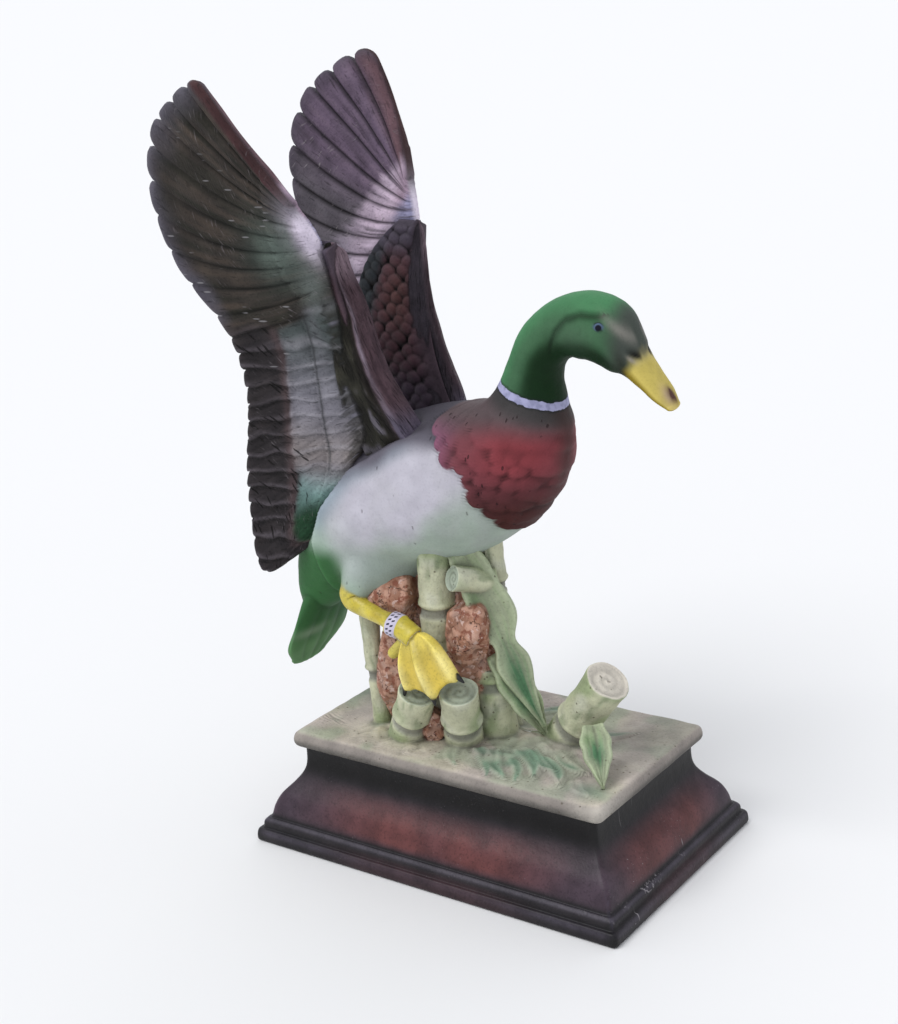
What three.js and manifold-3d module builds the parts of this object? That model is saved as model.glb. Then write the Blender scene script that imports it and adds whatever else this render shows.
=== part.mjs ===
import * as THREE from "three";
import { mergeVertices } from "three/addons/utils/BufferGeometryUtils.js";
import Module from "manifold-3d";

const wasm = await Module();
wasm.setup();

// A mallard drake alighting on cut bamboo: a painted bisque porcelain casting on a moulded plinth.
// Millimetres, +Z up. The origin is the middle of the plinth's underside and the drake faces +X.
// The bird is symmetric about the plane y = 0, apart from its leg, and its left side is +Y.

// Plinth: outer size, and its section as [inset from the outer face, height].
const PLINTH_LENGTH = 158;
const PLINTH_WIDTH = 101.5;
const PLINTH_HEIGHT = 36.5;
const PLINTH_CORNER = 1.6;
const PLINTH_SECTION = [
  [0.8, 0],
  [0, 0.9],
  [0.1, 3.5],
  [0.7, 4.9],
  [1.9, 5.4],
  [2.2, 7.6],
  [3.4, 9],
  [4.4, 9.6],
  [5.6, 13.9],
  [7.7, 18.1],
  [11.5, 22.4],
  [14.1, 26.2],
  [15.2, 30.2],
  [15.4, PLINTH_HEIGHT],
];

// Points round each corner of the plinth and the slab, in degrees.
const CORNER_ARC = [0, 45, 90];

// Ground slab of the casting, which overhangs the plinth's neck.
const SLAB_LENGTH = 134.5;
const SLAB_WIDTH = 77;
const SLAB_TOP = 43;
const SLAB_CORNER = 2.4;
const ROOT_COVER = 1;
const SEAM_TOLERANCE = 0.05;
const WELD_TOLERANCE = 1e-4;
const SLAB_SECTION = [
  [1.6, PLINTH_HEIGHT],
  [0.3, PLINTH_HEIGHT + 1.4],
  [0, PLINTH_HEIGHT + 3.4],
  [0.6, SLAB_TOP - 1],
  [2.2, SLAB_TOP],
];

// Sections of rump, trunk, neck, head and bill, tail end first:
// [x, z, lean in degrees, height above, height below, half width].
// Lean turns a section's upward direction from +Z towards -X.
const TRUNK = [
  [-79, 83, 62, 5, 7, 10],
  [-75.5, 90, 56, 9, 11, 14],
  [-68, 103, 47, 15, 17, 18.5],
  [-56, 115, 38, 22.5, 22.5, 22.5],
  [-38, 127, 33, 27, 27, 26],
  [-18, 136, 31, 28.5, 29, 27.5],
  [0, 144, 34, 26.5, 26.5, 27],
  [12.5, 152, 45, 22.5, 23, 24],
  [20.5, 161, 62, 18, 18.5, 18.5],
  [24, 172.4, 80, 13.4, 12.6, 12.4],
  [26.2, 182, 74, 10.4, 9.6, 9.6],
  [29.8, 190, 54, 10, 9, 9.2],
  [36, 195.5, 34, 10.2, 9.6, 9.6],
  [43, 198, 12, 11.2, 11, 10.4],
  [50, 198.2, -2, 11.8, 11.4, 11],
  [57, 196, -18, 11, 11.2, 10.6],
  [62, 191.3, -34, 7.4, 9, 8.8],
  [65.6, 187.6, -43, 4.4, 6.2, 7.6],
  [70, 183, -43, 2.8, 4.4, 7.2],
  [74.8, 177.8, -43, 2, 3, 6.4],
  [78, 174.3, -43, 1.2, 2, 4.2],
];
const TRUNK_SIDES = 14;
const TRUNK_STEPS = 2;

// Tail fan: a thin paddle that hangs from the rump, [x, z, half width, half thickness].
const TAIL = [
  [-69, 98, 11, 6],
  [-75, 86, 14, 4.6],
  [-79.5, 74, 16.5, 3],
  [-83.5, 65, 17, 2.2],
  [-87.5, 57.5, 11, 1.4],
];
const TAIL_LEAN = 64;
const TAIL_SIDES = 12;

// Wing: guide feathers as [order, base x, y, z, tip x, y, z, bow, belly]. Order counts feathers from the
// outermost primary's leading edge, bow is the curve of a feather as a share of its length, and belly
// is how far its middle stands out from the straight line.
const PRIMARIES = 10;
const SECONDARIES = 16;
const WING = [
  [0, -47, 33, 240, -69, 48, 283, 0.03, 2.2],
  [0.5, -46.5, 33, 239.5, -73.5, 47, 285, 0.03, 2.2],
  [1.5, -46, 32.5, 238, -84, 44.5, 282, 0.05, 2.2],
  [3.5, -43.5, 30.5, 234, -100.5, 41.5, 269.5, 0.09, 2],
  [5.5, -41, 28.5, 228, -107, 38.5, 245, 0.1, 1],
  [7.5, -39, 26.5, 220, -101, 36, 220, 0.08, 0],
  [9.5, -38, 24, 210, -84, 33, 197, 0.04, -1],
  [12, -37, 22, 195, -79, 31, 180, 0, -1.2],
  [15, -36, 20.5, 183, -81.5, 29, 160, 0, -1.2],
  [18, -34, 20, 170, -85, 27.5, 140, 0, -1.2],
  [21, -33, 18, 158, -87, 26.5, 121, 0.02, -1],
  [24, -46, 16, 138, -83, 25, 100.5, 0.04, 0],
  [26, -56, 14, 122, -67, 20, 110, 0.04, 0],
];
const WING_BASE_HALF = 3.1;
const WING_TIP_HALF = 1.7;
const WING_RIM = 3;
const PRIMARY_RIDGE = 0.7;
const SECONDARY_RIDGE = 0.35;
const PRIMARY_LOBE = 5;
const SECONDARY_LOBE = 1.6;
const COVERT_STEP = 0.9;
const COVERT_SHARE = 0.56;
const PRIMARY_COVERT_SHARE = 0.24;
const WING_CHANGE = 2;
const WING_LIFT = 1.6;
const WING_ROWS = [0, 0.17, 0.29, 0.41, 0.555, 0.585, 0.94, 1];
const SPLIT_PRIMARIES = 7;
const PRIMARY_SPLITS = [0, 0.14, 0.5, 0.86];
const FEATHER_SPLITS = [0, 0.5];
const SCALE_RELIEF = 0.8;
const SCALE_SHARE = 0.45;

// Forearm bar along the wing's leading edge, wrist first:
// [x, y, z, half chord, half thickness, yaw in degrees of the chord from +X towards the middle].
const FOREARM = [
  [-38.5, 25.4, 224.5, 3, 1.6, 31],
  [-37.5, 24.4, 221, 6, 3.4, 31],
  [-36.5, 22, 202, 7.6, 3.9, 31],
  [-34.5, 20.6, 188, 8, 4.3, 28],
  [-31, 19.2, 175, 9, 5, 24],
  [-27, 16.6, 163, 10.5, 6, 20],
  [-23, 13, 150, 11, 6.4, 20],
];
const FOREARM_SIDES = 8;

// Near leg and webbed foot, which clasps the cut ends of two stubs.
const LEG = [
  [-36, -6, 111, 17],
  [-41.5, -14, 104, 11],
  [-45.5, -20, 99, 6.2],
  [-44.5, -21.5, 94, 4.6],
  [-38, -23, 91.5, 4],
  [-28, -25, 90.5, 3.7],
  [-20, -26, 89, 4.2],
  [-14, -26, 86, 4.4],
];
const LEG_SIDES = 8;
const ANKLE = [-15, -25.5, 88];
const TOES = [
  [-16.5, -30, 69],
  [-3.5, -31, 70],
  [6, -28, 76.5],
];
const HIND_TOE = [-23.5, -27, 79];
const TOE_RADIUS = 2.7;
const WEB_HALF = 2;
const WEB_SCALLOP = 0.1;
const CLAW_LENGTH = 3.4;
const TOE_WAIST = 2.2;
const CLAW_RADIUS = 1;
const CLAW_TIP = 0.3;
const TOE_SIDES = 7;
const CLAW_SIDES = 5;

// Cut bamboo: [foot x, y, z, head x, y, z, foot radius, head radius, shares of the length with a node].
const BAMBOO = [
  [-15, -10, 42, -13.5, -12, 119, 7, 7, [0.68]],
  [-40, -16, 42, -44.5, -15, 97, 3.6, 3.8, [0.42]],
  [-27, -20, 40, -14, -27, 65.5, 7.4, 7.2, [0.55]],
  [-4, -14, 40, 2, -24, 67.5, 7.6, 7.2, [0.5]],
  [5, -4, 40, 4, -5, 71, 7.6, 7.4, [0.85]],
  [5.5, 3, 40, 3.5, 0, 120, 4.4, 4, [0.4, 0.78]],
  [-8, 12, 40, -8, 14, 119, 6, 6, [0.35, 0.7]],
  [-33, 12, 40, -32, 12, 114, 5.4, 5, [0.3, 0.66]],
  [24, 5, 38, 49.5, 0, 71.5, 8, 8.3, [0.42]],
];
const BAMBOO_SIDES = 10;
const NODE_SWELL = 0.7;
const NODE_HALF = 1.6;
const CUT_DISH = 0.8;
const CUT_MOUTH = 0.7;

// Stones packed between the stalks: [x, y, z, half sizes x, y, z].
const STONES = [
  [-15, -1, 60, 24, 15, 26],
  [-16, 0, 92, 23, 14, 25],
  [-33, -12, 92, 12, 9, 14],
  [0, -12, 84, 10, 8, 16],
  [-34, -15, 62, 10, 8, 20],
  [-15, -19, 48, 6, 5, 10],
];
const STONE_RINGS = 5;
const STONE_SIDES = 8;
const STONE_ROUGH = 0.08;
const STONE_WAVES = 3;
const STONE_TURN = 2;

// Bamboo leaves: [root x, y, z, tip x, y, z, half width, sag].
const LEAVES = [
  [-3.5, -10, 116, 24, -4, 57, 5.5, 2],
  [8.5, -8, 78, 23, 0, 44.5, 6.5, 3],
  [48, -9, 58, 61, -25, 43.5, 5.5, 2],
  [6, -16, 46, 36, -18, 43.5, 9, 0.6],
];
const LEAF_FACING = [0.5, -0.75, 0.45];
const LEAF_HALF = 1.3;
const LEAF_POINT = 0.12;
const LEAF_ROOT = 0.25;
const LEAF_STEPS = 6;

// A vertex list and its triangles, turned so that the faces point out.
function closed(vertices, triangles) {
  let volume = 0;
  const cross = new THREE.Vector3();
  for (const [a, b, c] of triangles) {
    volume += cross.crossVectors(vertices[a], vertices[b]).dot(vertices[c]);
  }
  const turned = volume < 0 ? triangles.map(([a, b, c]) => [a, c, b]) : triangles;
  const geometry = new THREE.BufferGeometry().setFromPoints(vertices);
  geometry.setIndex(turned.flat());
  return geometry;
}

// A skin over rings of equally many points, closed by a fan at each end.
function skin(rings) {
  const sides = rings[0].length;
  const vertices = rings.flat();
  const triangles = [];
  for (let r = 0; r + 1 < rings.length; r++) {
    for (let s = 0; s < sides; s++) {
      const a = r * sides + s;
      const b = r * sides + ((s + 1) % sides);
      triangles.push([a, b, b + sides], [a, b + sides, a + sides]);
    }
  }
  const ends = [0, rings.length - 1];
  ends.forEach((r, end) => {
    const middle = new THREE.Vector3();
    rings[r].forEach((p) => middle.add(p));
    const hub = vertices.push(middle.divideScalar(sides)) - 1;
    for (let s = 0; s < sides; s++) {
      const a = r * sides + s;
      const b = r * sides + ((s + 1) % sides);
      triangles.push(end === 0 ? [b, a, hub] : [a, b, hub]);
    }
  });
  return closed(vertices, triangles);
}

function solidOf(geometry) {
  const bare = mergeVertices(geometry, WELD_TOLERANCE);
  return new wasm.Manifold(
    new wasm.Mesh({
      numProp: 3,
      vertProperties: bare.attributes.position.array,
      triVerts: new Uint32Array(bare.index.array),
    }),
  );
}

// One solid from overlapping closed geometries.
function join(geometries) {
  return geometries.map(solidOf).reduce((whole, piece) => whole.add(piece));
}

// The largest body of a solid, which leaves out the small voids sealed between its pieces.
function withoutVoids(solid) {
  return solid.decompose().reduce((best, body) => (body.volume() > best.volume() ? body : best));
}

function geometryOf(solid) {
  const mesh = solid.getMesh();
  const geometry = new THREE.BufferGeometry();
  geometry.setAttribute("position", new THREE.BufferAttribute(mesh.vertProperties, 3));
  geometry.setIndex(new THREE.BufferAttribute(mesh.triVerts, 1));
  return geometry;
}

const point = (x, y, z) => new THREE.Vector3(x, y, z);
const radians = THREE.MathUtils.degToRad;
const mix = THREE.MathUtils.lerp;

// One point for each step round a circle.
function round(sides, place) {
  return Array.from({ length: sides }, (_, s) => {
    const angle = (2 * Math.PI * s) / sides;
    return place(Math.cos(angle), Math.sin(angle), angle);
  });
}

// A circle of the given radius across a direction, anticlockwise about it.
function circle(centre, along, radius, sides) {
  const right = point(0, 1, 0).cross(along).normalize();
  const up = along.clone().cross(right);
  return round(sides, (cosine, sine) =>
    centre
      .clone()
      .addScaledVector(right, radius * cosine)
      .addScaledVector(up, radius * sine),
  );
}

// Rows of numbers read as smooth curves through their knots.
function readRows(knots, rows, at) {
  const last = knots.length - 1;
  const passed = knots.filter((knot) => knot <= at).length;
  const k = THREE.MathUtils.clamp(passed - 1, 0, last - 1);
  const span = knots[k + 1] - knots[k];
  const t = (at - knots[k]) / span;
  const slope = (i, c) => {
    const before = Math.max(0, i - 1);
    const after = Math.min(last, i + 1);
    return (rows[after][c] - rows[before][c]) / (knots[after] - knots[before]);
  };
  return rows[k].map((value, c) => {
    const rise = rows[k + 1][c] - value;
    const start = slope(k, c) * span;
    const end = slope(k + 1, c) * span;
    return value + t * (start + t * (3 * rise - 2 * start - end + t * (start + end - 2 * rise)));
  });
}

function smoothRows(rows, steps) {
  const knots = rows.map((row, i) => i);
  const count = (rows.length - 1) * steps;
  return Array.from({ length: count + 1 }, (_, i) => readRows(knots, rows, i / steps));
}

// Mouldings: rectangles with rounded corners, stacked by their inset and height.
function mouldedBlock(length, width, corner, section) {
  const rings = section.map(([inset, height]) =>
    [0, 1, 2, 3].flatMap((quarter) => {
      const sx = quarter === 0 || quarter === 3 ? 1 : -1;
      const sy = quarter < 2 ? 1 : -1;
      return CORNER_ARC.map((degrees) => {
        const angle = radians(quarter * 90 + degrees);
        return point(
          sx * (length / 2 - inset - corner) + corner * Math.cos(angle),
          sy * (width / 2 - inset - corner) + corner * Math.sin(angle),
          height,
        );
      });
    }),
  );
  return skin(rings);
}

// An egg-shaped section of the body, across the plane y = 0.
function egg([x, z, lean, above, below, half], sides) {
  const tilt = radians(lean);
  return round(sides, (cosine, sine) => {
    const rise = sine * (sine > 0 ? above : below);
    return point(x - rise * Math.sin(tilt), half * cosine, z + rise * Math.cos(tilt));
  });
}

// Trunk, neck, head and bill in one loft.
function trunk() {
  return skin(smoothRows(TRUNK, TRUNK_STEPS).map((row) => egg(row, TRUNK_SIDES)));
}

function tail() {
  return skin(TAIL.map(([x, z, half, thick]) => egg([x, z, TAIL_LEAN, thick, thick, half], TAIL_SIDES)));
}

// Columns of the wing's grid: feather orders, four to an outer primary and two to any other feather.
function wingColumns() {
  const columns = [];
  for (let k = 0; k < PRIMARIES + SECONDARIES; k++) {
    const splits = k < SPLIT_PRIMARIES ? PRIMARY_SPLITS : FEATHER_SPLITS;
    columns.push(...splits.map((split) => k + split));
  }
  columns.push(PRIMARIES + SECONDARIES);
  return columns;
}

// One wing, a feathered plate whose two faces meet at its rim. Side is 1 for the left, -1 for the right.
function wing(side) {
  const knots = WING.map((row) => row[0]);
  const columns = wingColumns();
  const outer = [];
  const inner = [];
  columns.forEach((order, i) => {
    const [, bx, by, bz, tx, ty, tz, bow, belly] = readRows(knots, WING, order);
    const primary = THREE.MathUtils.smoothstep(PRIMARIES + 1 - order, 0, WING_CHANGE);
    const across = 2 * (order - Math.floor(order)) - 1;
    const crown = order === PRIMARIES + SECONDARIES ? 0 : 1 - across * across;
    const reach = Math.hypot(tx - bx, tz - bz);
    const lobe = mix(SECONDARY_LOBE, PRIMARY_LOBE, primary) * (1 - Math.sqrt(crown));
    const share = 1 - lobe / reach;
    const ridge = mix(SECONDARY_RIDGE, PRIMARY_RIDGE, primary);
    const coverts = mix(COVERT_SHARE, PRIMARY_COVERT_SHARE, primary);
    const edge = Math.min(i, columns.length - 1 - i) / 2;
    outer.push([]);
    inner.push([]);
    WING_ROWS.forEach((row, j) => {
      const v = row * share;
      const bend = 4 * bow * v * (1 - v);
      const x = mix(bx, tx, v) + bend * (tz - bz);
      const z = mix(bz, tz, v) - bend * (bx - tx) + side * WING_LIFT * primary * v;
      const rim = Math.min(1, (reach * Math.min(row, 1 - row)) / WING_RIM, edge);
      const swell = Math.sqrt(rim * (2 - rim));
      const layer = row < coverts ? COVERT_STEP : 0;
      const half = mix(WING_BASE_HALF, WING_TIP_HALF, row) + ridge * crown * row + layer;
      const scaled = crown > 0 && row < SCALE_SHARE && (Math.floor(order) + j) % 2 === 0;
      const y = mix(by, ty, v) + 4 * belly * v * (1 - v);
      outer[i].push(point(x, side * (y + half * swell), z));
      inner[i].push(point(x, side * (y - (half + (scaled ? SCALE_RELIEF : 0)) * swell), z));
    });
  });
  return sheet(outer, inner);
}

// A closed plate from two grids of points that coincide along their borders.
function sheet(outer, inner) {
  const columns = outer.length;
  const rows = outer[0].length;
  const vertices = outer.flat();
  const onBorder = (i, j) => i === 0 || j === 0 || i === columns - 1 || j === rows - 1;
  const front = (i, j) => i * rows + j;
  const hidden = new Map();
  const back = (i, j) => {
    if (onBorder(i, j)) return front(i, j);
    const key = front(i, j);
    if (!hidden.has(key)) hidden.set(key, vertices.push(inner[i][j]) - 1);
    return hidden.get(key);
  };
  const triangles = [];
  for (let i = 0; i + 1 < columns; i++) {
    for (let j = 0; j + 1 < rows; j++) {
      const f = [front(i, j), front(i + 1, j), front(i + 1, j + 1), front(i, j + 1)];
      const b = [back(i, j), back(i + 1, j), back(i + 1, j + 1), back(i, j + 1)];
      const flip = (i === 0) === (j === 0) && (i === 0 || (i === columns - 2) === (j === rows - 2));
      if (flip) {
        triangles.push([f[0], f[1], f[2]], [f[0], f[2], f[3]]);
        triangles.push([b[0], b[2], b[1]], [b[0], b[3], b[2]]);
      } else {
        triangles.push([f[0], f[1], f[3]], [f[1], f[2], f[3]]);
        triangles.push([b[0], b[3], b[1]], [b[1], b[3], b[2]]);
      }
    }
  }
  return closed(vertices, triangles);
}

function forearm(side) {
  const rings = FOREARM.map(([x, y, z, chord, thick, yaw]) => {
    const turn = radians(yaw);
    return round(FOREARM_SIDES, (cosine, sine) => {
      const along = chord * cosine;
      const out = thick * sine;
      return point(
        x + along * Math.cos(turn) + out * Math.sin(turn),
        side * (y - along * Math.sin(turn) + out * Math.cos(turn)),
        z,
      );
    });
  });
  return skin(rings);
}

// A round limb through centres [x, y, z, radius].
function limb(rows, sides) {
  const centres = rows.map(([x, y, z]) => point(x, y, z));
  const rings = centres.map((centre, i) => {
    const before = centres[Math.max(0, i - 1)];
    const after = centres[Math.min(centres.length - 1, i + 1)];
    return circle(centre, after.clone().sub(before).normalize(), rows[i][3], sides);
  });
  return skin(rings);
}

// Toes, claws and the web between the toes.
function foot() {
  const ankle = point(...ANKLE);
  const pieces = [...TOES, HIND_TOE].flatMap((toe) => {
    const tip = point(...toe);
    const along = tip.clone().sub(ankle).normalize();
    const clawTip = tip.clone().addScaledVector(along, CLAW_LENGTH);
    return [
      limb(
        [
          [...ankle, TOE_RADIUS],
          [...ankle.clone().lerp(tip, 0.5), TOE_WAIST],
          [...tip, TOE_RADIUS],
        ],
        TOE_SIDES,
      ),
      limb(
        [
          [...tip, CLAW_RADIUS],
          [...clawTip, CLAW_TIP],
        ],
        CLAW_SIDES,
      ),
    ];
  });
  for (let k = 0; k + 1 < TOES.length; k++) {
    const a = point(...TOES[k]);
    const b = point(...TOES[k + 1]);
    const normal = a.clone().sub(ankle).cross(b.clone().sub(ankle)).normalize();
    const rim = a.clone().lerp(b, 0.5).lerp(ankle, WEB_SCALLOP);
    const outline = [ankle, a, rim, b];
    const faces = [WEB_HALF, -WEB_HALF].map((h) => outline.map((p) => p.clone().addScaledVector(normal, h)));
    pieces.push(skin(faces));
  }
  return pieces;
}

// One bamboo stalk with swollen nodes and a dished cut at its head.
function stalk([fx, fy, fz, hx, hy, hz, footRadius, headRadius, nodes]) {
  const foot = point(fx, fy, fz);
  const head = point(hx, hy, hz);
  const length = head.distanceTo(foot);
  const along = head.clone().sub(foot).normalize();
  const gap = NODE_HALF / length;
  const swells = nodes.flatMap((node) => [
    [node - gap, 0],
    [node, NODE_SWELL],
    [node + gap, 0],
  ]);
  const ring = (share, radius) => circle(foot.clone().lerp(head, share), along, radius, BAMBOO_SIDES);
  const rings = [[0, 0], ...swells, [1, 0]].map(([share, swell]) =>
    ring(share, mix(footRadius, headRadius, share) + swell),
  );
  rings.push(ring(1 - CUT_DISH / length, headRadius * CUT_MOUTH));
  return skin(rings);
}

// A rough stone: an egg with waves round it that turn from ring to ring, each stone in its own way.
function stone([x, y, z, a, b, c], index) {
  const rings = Array.from({ length: STONE_RINGS }, (_, r) => {
    const latitude = (Math.PI * (r + 0.5)) / STONE_RINGS - Math.PI / 2;
    return round(STONE_SIDES, (cosine, sine, angle) => {
      const wave = Math.sin(STONE_WAVES * angle + STONE_TURN * r + index);
      const wide = Math.cos(latitude) * (1 + STONE_ROUGH * wave);
      return point(x + a * wide * cosine, y + b * wide * sine, z + c * Math.sin(latitude));
    });
  });
  return skin(rings);
}

// A leaf blade with a pointed tip, folded a little along its middle.
function leaf([rx, ry, rz, tx, ty, tz, half, sag]) {
  const root = point(rx, ry, rz);
  const tip = point(tx, ty, tz);
  const along = tip.clone().sub(root).normalize();
  const across = point(...LEAF_FACING).cross(along).normalize();
  const out = along.clone().cross(across).normalize();
  const rings = Array.from({ length: LEAF_STEPS }, (_, i) => {
    const t = i / (LEAF_STEPS - 1);
    const wide = half * Math.max(LEAF_POINT, Math.sin(Math.PI * mix(LEAF_ROOT, 1, t)));
    const centre = root.clone().lerp(tip, t).addScaledVector(out, sag * Math.sin(Math.PI * t));
    return [
      centre.clone().addScaledVector(across, wide),
      centre.clone().addScaledVector(out, LEAF_HALF),
      centre.clone().addScaledVector(across, -wide),
      centre.clone().addScaledVector(out, -LEAF_HALF),
    ];
  });
  return skin(rings);
}

const slab = solidOf(mouldedBlock(SLAB_LENGTH, SLAB_WIDTH, SLAB_CORNER, SLAB_SECTION));
const bird = join([
  trunk(),
  tail(),
  wing(1),
  wing(-1),
  forearm(1),
  forearm(-1),
  limb(LEG, LEG_SIDES),
  ...foot(),
  ...BAMBOO.map(stalk),
  ...STONES.map(stone),
  ...LEAVES.map(leaf),
]);
const rooted = bird.trimByPlane([0, 0, 1], PLINTH_HEIGHT + ROOT_COVER).add(slab);
const casting = withoutVoids(rooted).simplify(SEAM_TOLERANCE);

const porcelain = new THREE.MeshStandardMaterial({ color: 0xb4b0a8, roughness: 0.6, metalness: 0 });
const lacquer = new THREE.MeshStandardMaterial({ color: 0x4a2424, roughness: 0.4, metalness: 0 });

const figurine = new THREE.Mesh(geometryOf(casting), porcelain);
figurine.name = "figurine";

const plinth = new THREE.Mesh(
  mouldedBlock(PLINTH_LENGTH, PLINTH_WIDTH, PLINTH_CORNER, PLINTH_SECTION),
  lacquer,
);
plinth.name = "plinth";

const duck = new THREE.Group();
duck.add(plinth, figurine);

export default duck;
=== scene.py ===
# A mallard drake alighting on cut bamboo: a painted bisque porcelain casting on a moulded plinth.
# Forms are worked out in millimetres in the part's frame and scaled to metres as they become meshes.
import math

import bpy
import numpy as np
from mathutils import Matrix, Vector, noise


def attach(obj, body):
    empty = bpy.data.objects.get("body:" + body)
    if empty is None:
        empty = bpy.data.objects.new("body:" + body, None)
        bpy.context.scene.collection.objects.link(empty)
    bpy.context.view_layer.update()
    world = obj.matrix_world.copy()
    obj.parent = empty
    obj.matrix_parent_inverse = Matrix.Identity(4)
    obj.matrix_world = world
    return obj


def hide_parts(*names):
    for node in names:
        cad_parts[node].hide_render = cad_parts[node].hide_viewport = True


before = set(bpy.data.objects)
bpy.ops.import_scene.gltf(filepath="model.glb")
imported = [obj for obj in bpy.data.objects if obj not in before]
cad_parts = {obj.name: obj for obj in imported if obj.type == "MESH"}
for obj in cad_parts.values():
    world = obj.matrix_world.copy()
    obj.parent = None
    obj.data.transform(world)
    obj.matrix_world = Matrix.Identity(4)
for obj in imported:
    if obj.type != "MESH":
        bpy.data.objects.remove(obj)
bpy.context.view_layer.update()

MM = 0.001

# Driving dimensions in mm, as in the solids.
PLINTH_LENGTH, PLINTH_WIDTH, PLINTH_HEIGHT, PLINTH_CORNER = 158, 101.5, 36.5, 1.6
PLINTH_SECTION = [
    (0.8, 0), (0, 0.9), (0.1, 3.5), (0.7, 4.9), (1.9, 5.4), (2.2, 7.6), (3.4, 9), (4.4, 9.6),
    (5.6, 13.9), (7.7, 18.1), (11.5, 22.4), (14.1, 26.2), (15.2, 30.2), (15.4, PLINTH_HEIGHT),
]
SLAB_LENGTH, SLAB_WIDTH, SLAB_TOP, SLAB_CORNER = 134.5, 77, 43, 2.4
SLAB_SECTION = [(1.6, 36.5), (0.3, 37.9), (0, 39.9), (0.6, 42), (2.2, 43)]

# Sections of rump, trunk, neck, head and bill: x, z, lean from +Z towards -X, above, below, half width.
TRUNK = [
    (-79, 83, 62, 5, 7, 10), (-75.5, 90, 56, 9, 11, 14), (-68, 103, 47, 15, 17, 18.5),
    (-56, 115, 38, 22.5, 22.5, 22.5), (-38, 127, 33, 27, 27, 26), (-18, 136, 31, 28.5, 29, 27.5),
    (0, 144, 34, 26.5, 26.5, 27), (12.5, 152, 45, 22.5, 23, 24), (20.5, 161, 62, 18, 18.5, 18.5),
    (24, 172.4, 80, 13.4, 12.6, 12.4), (26.2, 182, 74, 10.4, 9.6, 9.6), (29.8, 190, 54, 10, 9, 9.2),
    (36, 195.5, 34, 10.2, 9.6, 9.6), (43, 198, 12, 11.2, 11, 10.4), (50, 198.2, -2, 11.8, 11.4, 11),
    (57, 196, -18, 11, 11.2, 10.6), (62, 191.3, -34, 7.4, 9, 8.8), (65.6, 187.6, -43, 4.4, 6.2, 7.6),
    (70, 183, -43, 2.8, 4.4, 7.2), (74.8, 177.8, -43, 2, 3, 6.4), (78, 174.3, -43, 1.2, 2, 4.2),
]
TAIL = [
    (-69, 98, 11, 6), (-75, 86, 14, 4.6), (-79.5, 74, 16.5, 3), (-83.5, 65, 17, 2.2), (-87.5, 57.5, 11, 1.4),
]
TAIL_LEAN = 64

# Guide feathers: order, base x, y, z, tip x, y, z, bow, belly.
PRIMARIES, SECONDARIES = 10, 16
FEATHERS = PRIMARIES + SECONDARIES
WING = [
    (0, -47, 33, 240, -69, 48, 283, 0.03, 2.2), (0.5, -46.5, 33, 239.5, -73.5, 47, 285, 0.03, 2.2),
    (1.5, -46, 32.5, 238, -84, 44.5, 282, 0.05, 2.2), (3.5, -43.5, 30.5, 234, -100.5, 41.5, 269.5, 0.09, 2),
    (5.5, -41, 28.5, 228, -107, 38.5, 245, 0.1, 1), (7.5, -39, 26.5, 220, -101, 36, 220, 0.08, 0),
    (9.5, -38, 24, 210, -84, 33, 197, 0.04, -1), (12, -37, 22, 195, -79, 31, 180, 0, -1.2),
    (15, -36, 20.5, 183, -81.5, 29, 160, 0, -1.2), (18, -34, 20, 170, -85, 27.5, 140, 0, -1.2),
    (21, -33, 18, 158, -87, 26.5, 121, 0.02, -1), (24, -46, 16, 138, -83, 25, 100.5, 0.04, 0),
    (26, -56, 14, 122, -67, 20, 110, 0.04, 0),
]
WING_BASE_HALF, WING_TIP_HALF, WING_RIM, WING_CHANGE, WING_LIFT = 3.1, 1.7, 3, 2, 1.6
PRIMARY_LOBE, SECONDARY_LOBE = 5.5, 0.9
COVERT_SHARE, PRIMARY_COVERT_SHARE, SECOND_COVERT_SHARE = 0.56, 0.24, 0.3

# Forearm bar, wrist first: z, then the outer back, outer front, inner front and inner back corners' x, y.
FOREARM = [
    (225.6, -40.2, 27, -37.6, 25.6, -36.2, 24, -39, 24.2),
    (223.4, -41, 27.8, -37, 26.2, -33.8, 22.4, -39.8, 22.4),
    (217, -41.6, 28.2, -36, 26.2, -32.2, 21.2, -40, 20.6), (202, -42, 27, -33.3, 24, -28.9, 17.6, -39, 17),
    (188, -42, 26, -30.3, 24, -25.5, 17, -37, 15), (175, -41.5, 25, -25.5, 23.6, -20, 15.8, -33, 12.5),
    (163, -40, 23.5, -19, 21.5, -13.5, 13.4, -28, 9), (150, -37, 20, -14, 18, -8, 10, -22, 7),
]

# Thigh and leg: x, y, z, radius.
THIGH = [
    (-35, -3, 118, 21), (-36, -6, 112, 17), (-39.5, -11.5, 107, 13), (-43, -16.5, 102, 9.8),
    (-44.8, -19.8, 97, 6.4),
]
LEG = [
    (-44.5, -18, 100, 4.8), (-45.3, -20.6, 96.5, 5.2), (-44, -21.5, 93.8, 4.4), (-38, -23, 92, 3.3),
    (-30, -25, 91, 2.9), (-25.5, -25.6, 90.3, 3.3), (-24.6, -25.7, 90, 4.5), (-20.4, -26, 89, 4.7),
    (-19.4, -26.1, 88.7, 4.2), (-14, -26.5, 86, 4.2),
]
ANKLE = (-15, -26.5, 87.5)
TOES = [(-16.5, -30.5, 68), (-3.5, -31.5, 67.5), (6, -28.5, 76)]
HIND_TOE = (-23.5, -27.5, 79)

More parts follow.
